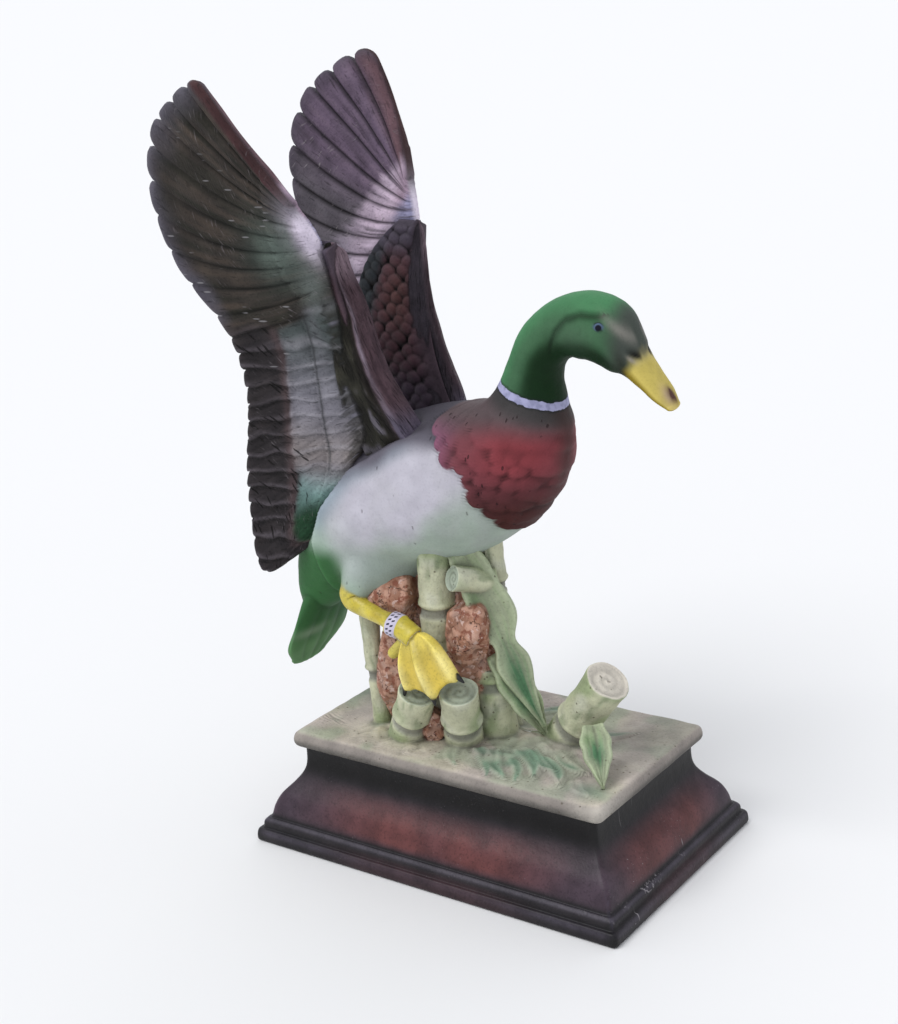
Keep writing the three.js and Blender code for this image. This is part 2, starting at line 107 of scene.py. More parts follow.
# Cut bamboo: foot, head, foot radius, head radius, shares of the length with a node.
BAMBOO = [
    (-15, -10, 42, -13.5, -12, 119, 7, 7, (0.68,)), (-40, -16, 42, -44.5, -15, 97, 3.6, 3.8, (0.42,)),
    (-27, -20, 40, -14, -27, 65.5, 7.4, 7.2, (0.55,)), (-4, -14, 40, 2, -24, 67.5, 7.6, 7.2, (0.5,)),
    (5, -4, 40, 4, -5, 71, 7.6, 7.4, (0.85,)), (5.5, 3, 40, 3.5, 0, 120, 4.4, 4, (0.4, 0.78)),
    (5, -3, 103, -2.5, -17, 107.5, 5, 4.8, ()), (-8, 12, 40, -8, 14, 119, 6, 6, (0.35, 0.7)),
    (-33, 12, 40, -32, 12, 114, 5.4, 5, (0.3, 0.66)),
    (24, 5, 38, 49.5, 0, 71.5, 8, 8.3, (0.42,)),
]
# Stones: centre, half sizes.
STONES = [
    (-15, -1, 60, 24, 15, 26), (-16, 0, 92, 23, 14, 25), (-33, -12, 92, 12, 9, 14),
    (0, -12, 84, 9, 8, 16), (-33, -15.5, 65, 7, 6.5, 21), (-15, -19, 48, 6, 5, 10),
]
# Leaves: root, tip, half width, sag, how waisted.
LEAVES = [
    (-3.5, -10, 116, 25, -4, 50, 8.2, 2, 0.4), (8.5, -8, 78, 23, 0, 44.5, 6.5, 3, 0),
    (48, -9, 58, 61, -25, 43.5, 5.5, 2, 0),
]
LEAF_FACING = (0.5, -0.75, 0.45)

# Steps of the meshes: points round and along the forms, and pitches in mm.
TRUNK_RINGS, TRUNK_SIDES, TAIL_RINGS, TAIL_SIDES, LEG_RINGS, LEG_SIDES = 290, 190, 70, 110, 96, 44
WING_ROWS, BAR_RINGS, BAR_STEPS, SCALE_ROWS, SCALE_COLUMNS, EYE_SIDES = 84, 130, 20, 200, 84, 48
STALK_SIDES, STALK_PITCH, STALK_LEAST, CUT_RINGS, STONE_SIDES, SLAB_PITCH = 42, 0.72, 36, 18, 90, 0.94
FEATHER_STEPS = (0, 0.07, 0.16, 0.27, 0.4, 0.53, 0.66, 0.77, 0.86, 0.93)
STONE_FACETS = 17

# Upper coverts: top, bottom, size of a scale, and the plate's left and right edges from the top down.
SCALES_TOP, SCALES_BOTTOM, SCALE_PITCH, SCALE_WIDTH = 227.0, 156.0, 3.5, 6.6
SCALE_EDGES = [(-46, -36.5), (-59, -34), (-66, -32.5), (-67, -30), (-64, -26.5), (-60, -21), (-54, -14)]

# Marks carried by each point, and their usual values: distance into the breast patch and over the neck
# ring, then feather and place along it, or two coordinates of another form.
MARKS = {"patch": -50.0, "ring": -50.0, "order": -20.0, "run": 50.0}

# Corners of a rectangle in turn, and how far the shade round the palm reaches.
CORNERS = np.array([(1, 1), (-1, 1), (-1, -1), (1, -1)])
PALM_SHADE = math.sqrt(110)


# Curves, fields and colours.
def ink(code):
    """Linear colour of an sRGB hex code, or a colour as it is."""
    if not isinstance(code, str):
        return code
    c = np.array([int(code[i:i + 2], 16) for i in (0, 2, 4)]) / 255
    return np.where(c <= 0.04045, c / 12.92, ((c + 0.055) / 1.055) ** 2.4)


def ramp(value, start, end):
    """A smooth rise from 0 at start to 1 at end."""
    t = np.clip((np.asarray(value, float) - start) / (end - start), 0, 1)
    return t * t * (3 - 2 * t)


def bump_at(value, centre, width):
    """A smooth hump of height 1."""
    return np.exp(-(((np.asarray(value, float) - centre) / width) ** 2))


def spot(x, y, centre_x, centre_y, width_x, width_y):
    """A smooth round hump of height 1."""
    return np.exp(-((x - centre_x) / width_x) ** 2 - ((y - centre_y) / width_y) ** 2)


def coats(paint, *layers):
    """Paint with coats laid over it: for each the colour and how thick it lies, from 0 to 1."""
    paint = ink(paint)
    for code, weight in zip(layers[::2], layers[1::2]):
        paint = paint + (ink(code) - paint) * np.clip(weight, 0, 1)[..., None]
    return paint


def unit(vector):
    return vector / np.linalg.norm(vector, axis=-1, keepdims=True)


def circle(count):
    return np.linspace(0, 2 * np.pi, count, endpoint=False)


def bulge(rim):
    """A quarter round, from 0 at the border of a plate to 1 where rim is 1."""
    rim = np.clip(rim, 0, 1)
    return np.sqrt(rim * (2 - rim))


def read_rows(rows, at, knots=None):
    """Rows of numbers read as smooth curves through their knots."""
    rows = np.asarray(rows, float)
    knots = np.arange(len(rows), dtype=float) if knots is None else np.asarray(knots, float)
    at = np.asarray(at, float)
    slopes = np.empty_like(rows)
    slopes[1:-1] = (rows[2:] - rows[:-2]) / (knots[2:] - knots[:-2])[:, None]
    slopes[0] = (rows[1] - rows[0]) / (knots[1] - knots[0])
    slopes[-1] = (rows[-1] - rows[-2]) / (knots[-1] - knots[-2])
    k = np.clip(np.searchsorted(knots, at, side="right") - 1, 0, len(knots) - 2)
    span = (knots[k + 1] - knots[k])[:, None]
    t = (at - knots[k])[:, None] / span
    rise = rows[k + 1] - rows[k]
    start, end = slopes[k] * span, slopes[k + 1] * span
    return rows[k] + t * (start + t * (3 * rise - 2 * start - end + t * (start + end - 2 * rise)))


def even(path, count):
    """Parameters that step evenly along a path read from rows of points."""
    fine = np.linspace(0, len(path) - 1, 40 * len(path))
    line = read_rows(path, fine)
    length = np.concatenate([[0], np.cumsum(np.linalg.norm(np.diff(line, axis=0), axis=1))])
    return np.interp(np.linspace(0, length[-1], count), length, fine)


def rough(points, size, seed=0):
    """Smooth noise between about -1 and 1, with waves of the given size."""
    shift = Vector((seed * 7.3, seed * 3.1, seed * 5.7))
    return np.array([noise.noise(Vector(p) / size + shift) for p in points])


def rough_grid(size, seed, *axes):
    """The same noise over a grid, at places of three numbers that may each be a grid."""
    places = np.stack(np.broadcast_arrays(*axes), -1)
    return rough(places.reshape(-1, 3), size, seed).reshape(places.shape[:-1])


def beside(points, path):
    """Signed distance of points to a path in the x, z plane, above 0 on its left."""
    points, path = points[:, [0, 2]], np.asarray(path, float)
    best = np.full(len(points), np.inf)
    signed = np.zeros(len(points))
    for a, b in zip(path[:-1], path[1:]):
        step = b - a
        t = np.clip((points - a) @ step / np.linalg.norm(step) ** 2, 0, 1)
        gap = points - (a + t[:, None] * step)
        distance = np.linalg.norm(gap, axis=1)
        near = distance < best
        best[near] = distance[near]
        side = np.sign(step[0] * (points[:, 1] - a[1]) - step[1] * (points[:, 0] - a[0]))
        signed[near] = (side * distance)[near]
    return signed


# Closed forms: points, faces, a colour and two numbers for each point, and a finish.
def form(points, faces, paint, finish, **marks):
    """A closed shape, turned to face out, with its paint and its marks for each point."""
    points = np.asarray(points, float)
    corners = [points[[face[k] for face in faces]] for k in (0, 1, 2)]
    thirds = np.array([face[-1] for face in faces])
    volume = np.einsum("ij,ij->i", corners[0], np.cross(corners[1], corners[2])).sum()
    volume += np.einsum("ij,ij->i", corners[0], np.cross(corners[2], points[thirds])).sum()
    if volume < 0:
        faces = [face[::-1] for face in faces]
    shape = {"points": points, "faces": faces, "finish": finish}
    shape["paint"] = np.array(np.broadcast_to(paint, (len(points), 3)))
    for key, usual in MARKS.items():
        shape[key] = np.array(np.broadcast_to(np.asarray(marks.get(key, usual), float), len(points)))
    return shape


def skin(rings):
    """Points and faces of a skin over rings of equally many points, with a hub at each end."""
    rings = np.asarray(rings, float)
    count, sides = rings.shape[:2]
    r, s = np.meshgrid(np.arange(count - 1), np.arange(sides), indexing="ij")
    a, b = (r * sides + s).ravel(), (r * sides + (s + 1) % sides).ravel()
    quads = np.stack([a, b, b + sides, a + sides], 1).tolist()
    points = np.concatenate([rings.reshape(-1, 3), rings[0].mean(0)[None], rings[-1].mean(0)[None]])
    first, last = count * sides, (count - 1) * sides
    caps = [[(k + 1) % sides, k, first] for k in range(sides)]
    caps += [[last + k, last + (k + 1) % sides, first + 1] for k in range(sides)]
    return points, quads + caps


def from_rings(values, sides):
    """Values for each point of a skin from one for each of its rings."""
    return np.concatenate([np.repeat(values, sides, 0), values[:1], values[-1:]])


def from_turns(values, rings):
    """Values for each point of a skin from one for each step round a ring."""
    return np.append(np.tile(values, rings), [0, 0])


def sheet(front, back):
    """Points and faces of a closed plate from two grids that coincide along their borders."""
    columns, rows = front.shape[:2]
    index = np.arange(columns * rows).reshape(columns, rows)
    inner = np.arange((columns - 2) * (rows - 2)).reshape(columns - 2, rows - 2) + columns * rows
    behind = index.copy()
    behind[1:-1, 1:-1] = inner

    def quads(grid, turned):
        q = np.stack([grid[:-1, :-1], grid[1:, :-1], grid[1:, 1:], grid[:-1, 1:]], -1).reshape(-1, 4)
        return (q[:, ::-1] if turned else q).tolist()

    points = np.concatenate([front.reshape(-1, 3), back[1:-1, 1:-1].reshape(-1, 3)])
    return points, quads(index, False) + quads(behind, True)


def sheet_values(front, back):
    """One value for each point of a sheet, from a grid for each face."""
    tail = front.shape[2:]
    return np.concatenate([front.reshape((-1,) + tail), back[1:-1, 1:-1].reshape((-1,) + tail)])


def tube(path, radii, sides):
    """Rings round a path of points."""
    path = np.asarray(path, float)
    along = unit(np.gradient(path, axis=0))
    right = unit(np.cross((0, 1, 0), along))
    turn = circle(sides)[:, None]
    wheel = np.cos(turn) * right[:, None] + np.sin(turn) * np.cross(along, right)[:, None]
    return path[:, None] + np.asarray(radii, float)[:, None, None] * wheel


def rounded(rings, first, last, steps=4):
    """Rings with a domed end where first or last says how far it stands out, in mm."""
    rings = np.asarray(rings, float)
    out = [rings]
    for end, reach in ((0, first), (-1, last)):
        if not reach:
            continue
        middle = rings[end].mean(0)
        inward = rings[1 if end == 0 else -2].mean(0)
        direction = unit(middle - inward)
        dome = []
        for i in range(1, steps):
            angle = np.pi / 2 * i / steps
            dome.append(middle + (rings[end] - middle) * np.cos(angle) + direction * reach * np.sin(angle))
        if end == 0:
            out.insert(0, np.array(dome[::-1]))
        else:
            out.append(np.array(dome))
    return np.concatenate(out)


# The drake.
FLANK_LIP = [(-2, 165), (-20, 157), (-42, 144), (-57, 127), (-62, 115), (-61, 95)]
BREAST_EDGE = [
    (-5, 170), (-3.5, 162), (3, 155), (10, 152), (13, 144), (16, 137), (19, 130), (22, 122), (24, 112),
]
CHEEK_LINE = [(57, 204.5), (50, 204.8), (44.5, 203), (40, 198), (37, 191), (34, 181)]
EYE = (57, -9.6, 200.3)


def path_points(path, pitch):
    """Points along a path at an even pitch."""
    path = np.asarray(path, float)
    length = np.linalg.norm(np.diff(path, axis=0), axis=1).sum()
    return read_rows(path, even(path, int(length / pitch)))


def breast_petals(points):
    """Distance into the breast patch, with a petalled edge, and the relief of its overlapping feathers."""
    x, z = points.T[[0, 2]]
    front = beside(points, BREAST_EDGE) - 2.4
    for i, (px, pz) in enumerate(path_points(BREAST_EDGE, 5.4)):
        front = np.maximum(front, 3.7 + 0.6 * math.sin(2.4 * i) - np.hypot(x - px - 1.2, z - pz - 0.5))
    relief = np.zeros(len(points))
    for row in range(10):
        shifted = [(px + 3.6 * row + 0.2, pz + 1.6 * row + 0.4) for px, pz in BREAST_EDGE]
        for i, (px, pz) in enumerate(path_points(shifted, 5.2)):
            px += 0.8 * math.sin(5.1 * i + 2 * row)
            pz += 0.8 * math.cos(3.7 * i + row) + 2.6 * (row % 2)
            u = ((px - x) * 0.82 + (pz - z) * 0.57) / 3.7
            w = ((x - px) * 0.57 - (z - pz) * 0.82) / (3.1 + 0.4 * math.sin(7 * i))
            inside = np.clip(1 - u ** 2 - w ** 2, 0, 1)
            relief = np.maximum(relief, np.sqrt(inside) * (0.5 + 0.5 * u))
    shown = ramp(z, 172, 161) * ramp(front, -0.6, 0.8) * (1 - 0.8 * spot(x, z, 27, 160, 9, 10))
    return front, relief * shown


def tilted(centre, x, z, cosine, sine):
    """Places x, z seen from a centre along two axes at a slant."""
    x, z = x - centre[0], z - centre[1]
    return x * cosine - z * sine, x * sine + z * cosine


def flank_paint(points, rise, drift):
    x, z = points.T[[0, 2]]
    belly = ramp(rise - 0.25 * drift, -0.12, -0.55)
    lip = beside(points, FLANK_LIP)
    beyond = ramp(lip, 1.2, -1.2) * ramp(x, -10, -18)
    shadow = beyond * ramp(lip, -9, -2) * ramp(x, -18, -26)
    return coats(
        "bdbac4",
        "adb5b0", ramp(-x - z + 120 + 5 * drift, 20, 60) * 0.7,
        # A darker, greener underside: the belly's own grey-green with painted shade in it.
        "9dac9f", belly * 0.95,
        "b3b2b6", bump_at(drift, 0.3, 0.2) * 0.25,
        # Painted shade along the upper rear edge of the flank.
        "7f8f9a", ramp(lip, 9, 1) * ramp(x, -4, -20) * ramp(z, 112, 124) * 0.8,
        "605d67", ramp(rise + 0.12 * drift, 0.4, 0.64),
        "45424a", ramp(rise + 0.1 * drift, 0.56, 0.84),
        "587d80", shadow * ramp(z, 118, 128) * ramp(rise, 0.4, 0.15),
        "1d3d25", beyond * bump_at(lip, -3, 4) * ramp(z, 136, 122),
        "93ab98", ramp(x - 2 * drift, -46, -56) * ramp(z, 128, 112) * 0.8,
        "386a3c", ramp(-x - 0.3 * (110 - z) + 2 * drift, 45, 53) * ramp(z, 116, 107),
        "93a596", spot(x, z, -43, 102, 6, 12) * ramp(rise, 0.0, -0.4) * 0.7)


def breast_paint(points, drift, front, petals, ring):
    x, y, z = points.T
    between = ramp(petals, 0.3, 0.03) * ramp(front, 0.5, 3) * ramp(front, 24, 12)
    return coats(
        "6a3b43",
        "83393f", spot(x, z, 27, 156, 15, 12) * 1.1,
        "7d5068", ramp(x - 3 * drift, 9, -5) * 0.9,
        "3f1d1b", ramp(z, 154, 133) * 0.95,
        # Painted shade in the crevices between the lower breast feathers.
        "2c1012", between * ramp(z, 163, 152) * 0.6,
        "55484a", ramp(z + 2 * drift, 159, 168),
        "3d3b3b", ramp(ring, -9, -3),
        "3a2826", ramp(np.abs(y), 10, 0) * ramp(x, 29, 36) * 0.75)


def head_paint(points, rise, drift):
    x, y, z = points.T
    cheek = beside(points, CHEEK_LINE)
    streak = spot(*tilted((63, 199), x, z, 0.72, 0.69), 0, 0, 6.5, 1.3)
    return coats(
        "42694a",
        # Painted light on the head and neck: a highlight on the upper side, and painted shade on the lower
        # side, the front of the neck and along the cheek line.
        "447d53", ramp(rise + 0.15 * drift, 0.25, 0.9) * 0.9,
        "08280d", ramp(rise + 0.12 * drift, 0.0, -0.45) * 0.97,
        "08280d", ramp(rise + 0.2 * drift, 0.3, -0.3) * ramp(x, 44, 36) * 0.75,
        "0f2f17", bump_at(cheek, 1.2, 1.3) * ramp(rise, -0.6, -0.1) * 0.95,
        "48604c", spot(x, z, 47, 197, 8, 5) * 0.5,
        "424943", ramp(x + 0.8 * drift, 56.5, 64) * ramp(z, 180, 190),
        "8f8b84", streak * ramp(np.abs(y), 1.5, 3.5) * 0.6,
        "262c22", bump_at(x, 64.5, 3) * ramp(rise, 0.45, -0.2) * 0.85)


def bill_paint(points, rise, along):
    y = points[:, 1]
    nail = 1.5 * spot(along, y, 15, 0.7, 2.3, 2) * np.exp(0.6 * rough(points, 2, 19))
    return coats(
        "c9b760",
        # Painted shade on the underside of the bill.
        "94801f", ramp(rise, 0.2, -0.45),
        "b39a86", spot(along, y, 14.6, -1.6, 3.2, 2.6) * ramp(rise, -0.1, 0.2) * 0.8,
        "54362e", np.clip(nail, 0, 1) * ramp(rise, -0.1, 0.2),
        "a8a184", ramp(along, 4, -0.5) * ramp(rise, 0.2, 0.9) * 0.6)


def body_paint(points, rise, front, petals):
    """Colour, distance over the neck ring and nostril. Rise is 1 on the back, -1 below."""
    x, y, z = points.T
    drift = rough(points, 14, 21)
    ring = (x - 24) * 0.31 + (z - 174.6) * 0.95
    breast = breast_paint(points, drift, front, petals, ring)
    paint = coats(flank_paint(points, rise, drift), breast, ramp(front, -0.35, 0.35))
    paint = np.where((ring > 0)[:, None], head_paint(points, rise, drift), paint)
    along = (x - 67.2) * 0.86 - (z - 190) * 0.5
    tinted = ramp(along + rough(points, 2.5, 3), -1.6, 2.6) * (ring > 6)
    slot_x, slot_z = tilted((67.4, 191.2), x, z, 0.73, 0.68)
    beside_ridge = ramp(np.abs(y), 2.2, 3.4)
    nostril = spot(slot_x, slot_z, 0, 0, 1.9, 0.75) * beside_ridge
    paint = coats(
        paint,
        bill_paint(points, rise, along), tinted,
        "a39c90", spot(slot_x, slot_z, 0.6, -1.5, 1.5, 0.5) * beside_ridge * 0.8,
        "191814", nostril)
    return paint, ring, nostril


def step_at(distance, size, fade, start, end):
    """Height of an edge that stands up at distance 0 and fades out beyond it."""
    return size * ramp(distance, start, end) * np.exp(-np.maximum(distance, 0) / fade)


def trunk():
    rows = np.asarray(TRUNK, float)
    x, z, lean, above, below, half = read_rows(rows, even(rows[:, :2], TRUNK_RINGS)).T[..., None]
    turn = circle(TRUNK_SIDES)
    tilt = np.radians(lean)
    lift = np.sin(turn) * np.where(np.sin(turn) > 0, above, below)
    rings = np.stack([x - lift * np.sin(tilt), half * np.cos(turn), z + lift * np.cos(tilt)], -1)
    rings = rounded(rings, 2.5, 1.6, 7)
    points, faces = skin(rings)
    rise = from_turns(np.sin(turn), len(rings))
    out = points - from_rings(rings.mean(1), TRUNK_SIDES)
    out /= np.maximum(np.linalg.norm(out, axis=1), 1e-6)[:, None]
    x, z = points.T[[0, 2]]
    lip, cheek = [beside(points, line) for line in (FLANK_LIP, CHEEK_LINE)]
    front, petals = breast_petals(points)
    paint, ring, nostril = body_paint(points, rise, front, petals)
    fold = np.abs(rough(points * (1, 0.6, 0.6), 17, 31))
    on_cheek = (z > 181) * (x > 33) * ramp(rise, -0.8, -0.2) * ramp(rise, 0.85, 0.6)
    relief = step_at(lip, 1.7, 9, -0.5, 0.7) * ramp(x, -2, -16) * ramp(rise, 0.9, 0.6)
    relief += step_at(front, 0.5, 8, -0.3, 0.5) * ramp(rise, 0.8, 0.5) + 1.35 * petals
    relief += (step_at(cheek, 0.8, 7, -0.2, 1.4) - 0.55 * bump_at(cheek, 0.2, 0.8)) * on_cheek
    relief += 0.35 * rough(points, 9) * ramp(x, 22, -20)
    relief -= 0.5 * bump_at(fold, 0, 0.03) * bump_at(x, -5, 12) * ramp(rise, 0.3, 0.8)
    relief += 0.12 * rough(points, 3, 8) - 0.7 * nostril
    points = points + out * relief[:, None]
    return form(points, faces, paint, "plumage", patch=front, ring=ring)


def tail():
    rows = np.asarray(TAIL, float)
    x, z, half, thick = read_rows(rows, even(rows[:, :2], TAIL_RINGS)).T[..., None]
    tilt = math.radians(TAIL_LEAN)
    turn = circle(TAIL_SIDES)
    vane = 0.5 * np.abs(np.sin(np.cos(turn) * 7 + 0.4)) * ramp(z, 90, 72)
    lift = (thick + vane) * np.sin(turn)
    wide = half * (1 + 0.04 * np.cos(turn * 9) * ramp(z, 75, 60)) * np.cos(turn)
    rings = np.stack([x - lift * math.sin(tilt), wide, z + lift * math.cos(tilt)], -1)
    points, faces = skin(rounded(rings, 0, 4, 6))
    x, y, z = points.T
    paint = coats(
        "3d6a40",
        "64905f", ramp(z - 3 * rough(points, 8, 5), 76, 62),
        "93aa90", spot(y, z, -9, 71, 8, 2.2) * 0.6,
        "234a2b", bump_at(z, 86, 7) * ramp(np.abs(y), 14, 6) * 0.5)
    return form(points, faces, paint, "plumage")


def wing_paint(x, z, order, share, within, outer):
    """Colours of a wing's outer (underwing) or inner (upper) face."""
    drift = rough_grid(7, 3, order * 4, share * 30, outer)
    streak = rough_grid(1.4, 4, order * 6.4, share * 4.8, outer)
    light, dark = np.clip(streak * 1.6, 0, 1), np.clip(-streak * 1.6, 0, 1)
    hand = ramp(PRIMARIES + 0.7 + drift - order, 0, 1.4)
    arm = 1 - hand
    # Painted shade in the grooves between feathers.
    groove_shade = ramp(np.abs(within - 0.5), 0.36, 0.5)
    if not outer:
        beyond = ((x + 47) * -26 + (z - 240) * 27) / 37.5
        jag = 2.4 * streak + 1.5 * drift
        pale = coats(
            "a08a9b",
            "8684a0", ramp(-beyond - jag, 3, 8),
            "c2b0c1", ramp(x, -46, -54) * 0.9,
            "8a808d", ramp(x, -62, -78),
            "4c4450", groove_shade * 0.45)
        return coats(
            "625365",
            "6b5c6b", light * 0.7,
            "3f3640", dark * 0.7,
            "654c52", ramp(order + 0.3 * drift, 1.5, 0.3),
            "545155", ramp(order, 4, 6) * 0.8,
            "1f1a20", groove_shade * 0.85,
            "413b45", ramp(share, 0.88, 1) * 0.8,
            pale, hand * ramp(-beyond + jag, -10, -4) * (1 - 0.75 * ramp(streak, -0.25, -0.5)),
            "332b31", arm)
    recess = arm * ramp(share + 0.08 * streak, 0.15, 0.08) * ramp(z, 140, 150)
    palm = spot(*tilted((-43, 230), x, z, 0.46, 0.89), 0, 0, 9.5, 4.6)
    pale = coats(
        "7d7b84",
        "454d4c", ramp(z, 165, 200),
        "8b827f", bump_at(z, 150, 10) * 0.8,
        # Painted shade under each covert's edge and a painted highlight along its crest.
        "3c3f42", ramp(within, 0.88, 0.97) * 0.4,
        "a5a2a9", bump_at(within, 0.78, 0.12) * 0.35,
        "2d2f30", bump_at(share, 0.29, 0.012) * ramp(z, 135, 150) * 0.8,
        "a09da6", bump_at(share, 0.23, 0.05) * 0.15,
        "93a6a5", ramp(z, 146, 134),
        "7f9f9b", ramp(z - 3 * drift, 142, 132),
        "20402a", ramp(-z + 4 * drift + 0.25 * (x + 60), -138, -124))
    return coats(
        "35302c",
        "4a4038", light * 0.8,
        "24241c", dark * 0.8,
        "53505a", hand * ramp(share + 0.1 * drift, 0.82, 1) * 0.9,
        "12130d", hand * groove_shade * ramp(share, 1.0, 0.4) * 0.75,
        "15180f", hand * spot(x, z, -60, 224, 8, 8) * 0.85,
        "402a2b", ramp(order + 0.2 * drift, 0.85, 0.45),
        "2c282b", arm * 0.85,
        # A painted highlight along each feather's crest and painted shade under its edge.
        "575156", arm * bump_at(within, 0.8, 0.12) * (0.6 + 0.5 * drift),
        "121110", arm * ramp(within, 0.9, 0.97) * 0.8,
        pale, arm * ramp(share + 0.05 * drift, 0.6, 0.54),
        "5a4a4b", arm * bump_at(share, 0.6, 0.04) * 0.6,
        "717874", spot(x, z, -45, 213, 4.5, 8) * 0.85,
        # Painted shade in the recess at the feathers' roots by the arm, with paler streaks in it.
        "25241d", recess * (0.75 + 0.4 * streak),
        "7c7a86", recess * ramp(streak, 0.3, 0.5) * 0.8,
        "5f6b64", spot(x, z, -54, 224, PALM_SHADE, PALM_SHADE) * 0.9,
        "c6bccb", np.clip(palm * 1.3, 0, 1),
        "69716d", spot(x, z, -50, 230, 2.6, 6) * 0.8)


def wing(side):
    """A plate of feathers, each from its place on the arm to a lobed tip."""
    orders = np.append(np.arange(FEATHERS)[:, None] + FEATHER_STEPS, FEATHERS)
    rows = np.linspace(0, 1, WING_ROWS)
    guide = np.asarray(WING, float)
    places = read_rows(guide[:, 1:], orders, guide[:, 0])
    behind = orders > 8
    level = np.maximum.accumulate(-places[behind, 5])
    bx, by, bz, tx, ty, tz, bow, belly = places.T[..., None]
    order = orders[:, None]
    number = np.minimum(np.floor(order), FEATHERS - 1)
    within = order - number
    hand = ramp(PRIMARIES + 1 - order, 0, WING_CHANGE)
    arm = 1 - hand
    reach = np.hypot(tx - bx, tz - bz)
    deep = SECONDARY_LOBE + (PRIMARY_LOBE - SECONDARY_LOBE) * ramp(order, 6.5, 3.5)
    deep = deep + 0.5 * np.sin(number * 4.1) ** 2
    blunt = (1 - np.abs(2 * within - 1) ** (2.6 + 1.6 * hand)) ** 0.5
    v = rows * (1 - (deep * (1 - blunt) + 0.5 * np.sin(number * 7.3)) / reach)
    bend = 4 * bow * v * (1 - v)
    x = bx + (tx - bx) * v + bend * (tz - bz)
    y = by + (ty - by) * v + 4 * belly * v * (1 - v)
    z = bz + (tz - bz) * v - bend * (bx - tx) + side * WING_LIFT * hand * v
    edge = np.minimum(order, FEATHERS - order) * 1.6
    swell = bulge(np.minimum(reach * np.minimum(rows, 1 - rows) / WING_RIM, edge))

    # On the arm the secondaries' grooves run level, whatever the guide feathers do.
    across = np.interp(-(z - 0.1 * (x - tx)), level, orders[behind])
    shown = order + (across - order) * ramp(order, 9, 12.5) * ramp(v, 1, 0.97)
    shown = shown + 0.4 * rough_grid(10, 12, x, z, 0) * ramp(order, 8, 12)
    shown = np.clip(shown, 0, FEATHERS - 1e-6)
    within = shown - np.floor(shown)

    sway = rough_grid(9, 6, number * 9, v * 40, 0)
    streak = rough_grid(1.3, 4, order * 4, v * 5, 0)
    w = np.clip(within + 0.1 * sway * np.sin(np.pi * within), 0, 1)
    peak = 0.8 - 0.38 * hand
    lean = np.where(w < peak, (peak - w) / peak, (w - peak) / (1 - peak))
    crest = np.where(w < peak, 1 - lean ** (1.4 + 0.6 * hand), np.sqrt(np.clip(1 - lean ** 2, 0, 1)))
    ridge = (0.95 + 0.25 * hand) * (0.8 + 0.5 * sway) * crest
    fade = ramp(rows, 0.0, 0.35)
    covert = COVERT_SHARE + (PRIMARY_COVERT_SHARE - COVERT_SHARE) * hand + 0.02 * np.sqrt(blunt) - v
    second = SECOND_COVERT_SHARE + 0.015 * np.sqrt(blunt) - v
    half = WING_BASE_HALF + (WING_TIP_HALF - WING_BASE_HALF) * rows
    smooth = 1 - 0.72 * ramp(covert, 0, 0.05) * arm
    outer = half + ridge * (0.3 * arm + (1 - 0.3 * arm) * fade) * smooth
    outer += (0.35 + 0.3 * hand) * ramp(covert, -0.012, 0.012) + 0.45 * ramp(second, -0.01, 0.01) * arm
    outer += 0.3 * streak + 0.9 * np.clip(streak - 0.2, 0, 1) * ramp(v, 0.16, 0.1) * arm
    inner = half + 1.5 * ridge * (0.25 + 0.75 * fade) + 0.35 * streak
    grids = [np.stack([x, side * (y + lift * swell), z], -1) for lift in (outer, -inner)]
    points, faces = sheet(*grids)
    paints = [wing_paint(x, z, order, v, within, face) for face in (True, False)]
    length = v * reach
    return form(points, faces, sheet_values(*paints), "wing",
                order=sheet_values(shown, shown), run=sheet_values(length, -length - 1))


def forearm(side):
    rows = np.asarray(FOREARM, float)
    rings = []
    for height, *corners in read_rows(rows, np.linspace(0, len(rows) - 1, BAR_RINGS)):
        corners = np.reshape(corners, (4, 2))
        share = np.linspace(0, 1, BAR_STEPS, endpoint=False)[:, None]
        ring = np.concatenate([a + (b - a) * share for a, b in zip(corners, np.roll(corners, -1, 0))])
        for _ in range(7):
            ring = (np.roll(ring, 1, 0) + 2 * ring + np.roll(ring, -1, 0)) / 4
        rings.append(np.column_stack([ring * (1, side), np.full(len(ring), height)]))
    points, faces = skin(rounded(rings, 1.5, 0))
    k = np.append(np.arange(len(points) - 2) % len(rings[0]), [0, 0]) / 2
    z = points[:, 2]
    streak = rough_grid(1.5, 14, k * 0.9, z * 0.16, 0)
    chip = rough_grid(5, 15, 0, z, 0)
    low = ramp(z, 190, 172)
    heights, middle_x, middle_y = rows[::-1, 0], rows[::-1, 1::2].mean(1), rows[::-1, 2::2].mean(1)
    middle = np.column_stack([np.interp(z, heights, middle_x), side * np.interp(z, heights, middle_y), z])
    out = points - middle
    out /= np.maximum(np.linalg.norm(out, axis=1), 0.1)[:, None]
    panel = ramp(k - chip, 9.6, 8.6)
    relief = 0.35 * streak - 1.2 * panel * ramp(k, 1, 3) + 0.9 * np.clip(streak, -0.5, 0.6) * low * panel
    points = points + out * relief[:, None]
    pale = ramp(streak, 0.3, 0.5)
    paint = coats(
        "3f3339",
        "57464d", np.clip(streak + 0.2, 0, 1) * 0.8,
        "23221c", panel,
        "3b3a30", panel * np.clip(streak * 1.5, 0, 1),
        # Painted shade at the foot of the panel's raised edge.
        "1b1a14", panel * bump_at(k, 8.4, 1.5) * 0.8,
        "6d6873", panel * low * pale * ramp(z, 178, 170) * 0.7,
        # Painted highlight along the bar's outer front corner.
        "978c9a", bump_at(k - chip, 10.3, 0.7) * ramp(z, 216, 205) * (0.6 + 0.5 * streak),
        "5a454c", bump_at(k, 14.5, 4.5) * 0.7,
        "83707a", ramp(z, 210, 220) * (k > 9) * 0.9,
        "5d596c", ramp(z, 172, 160) * (k > 9) * 0.7,
        "38323a", ramp(k, 20, 24))
    return form(points, faces, paint, "wing", order=30.0 + k, run=z)


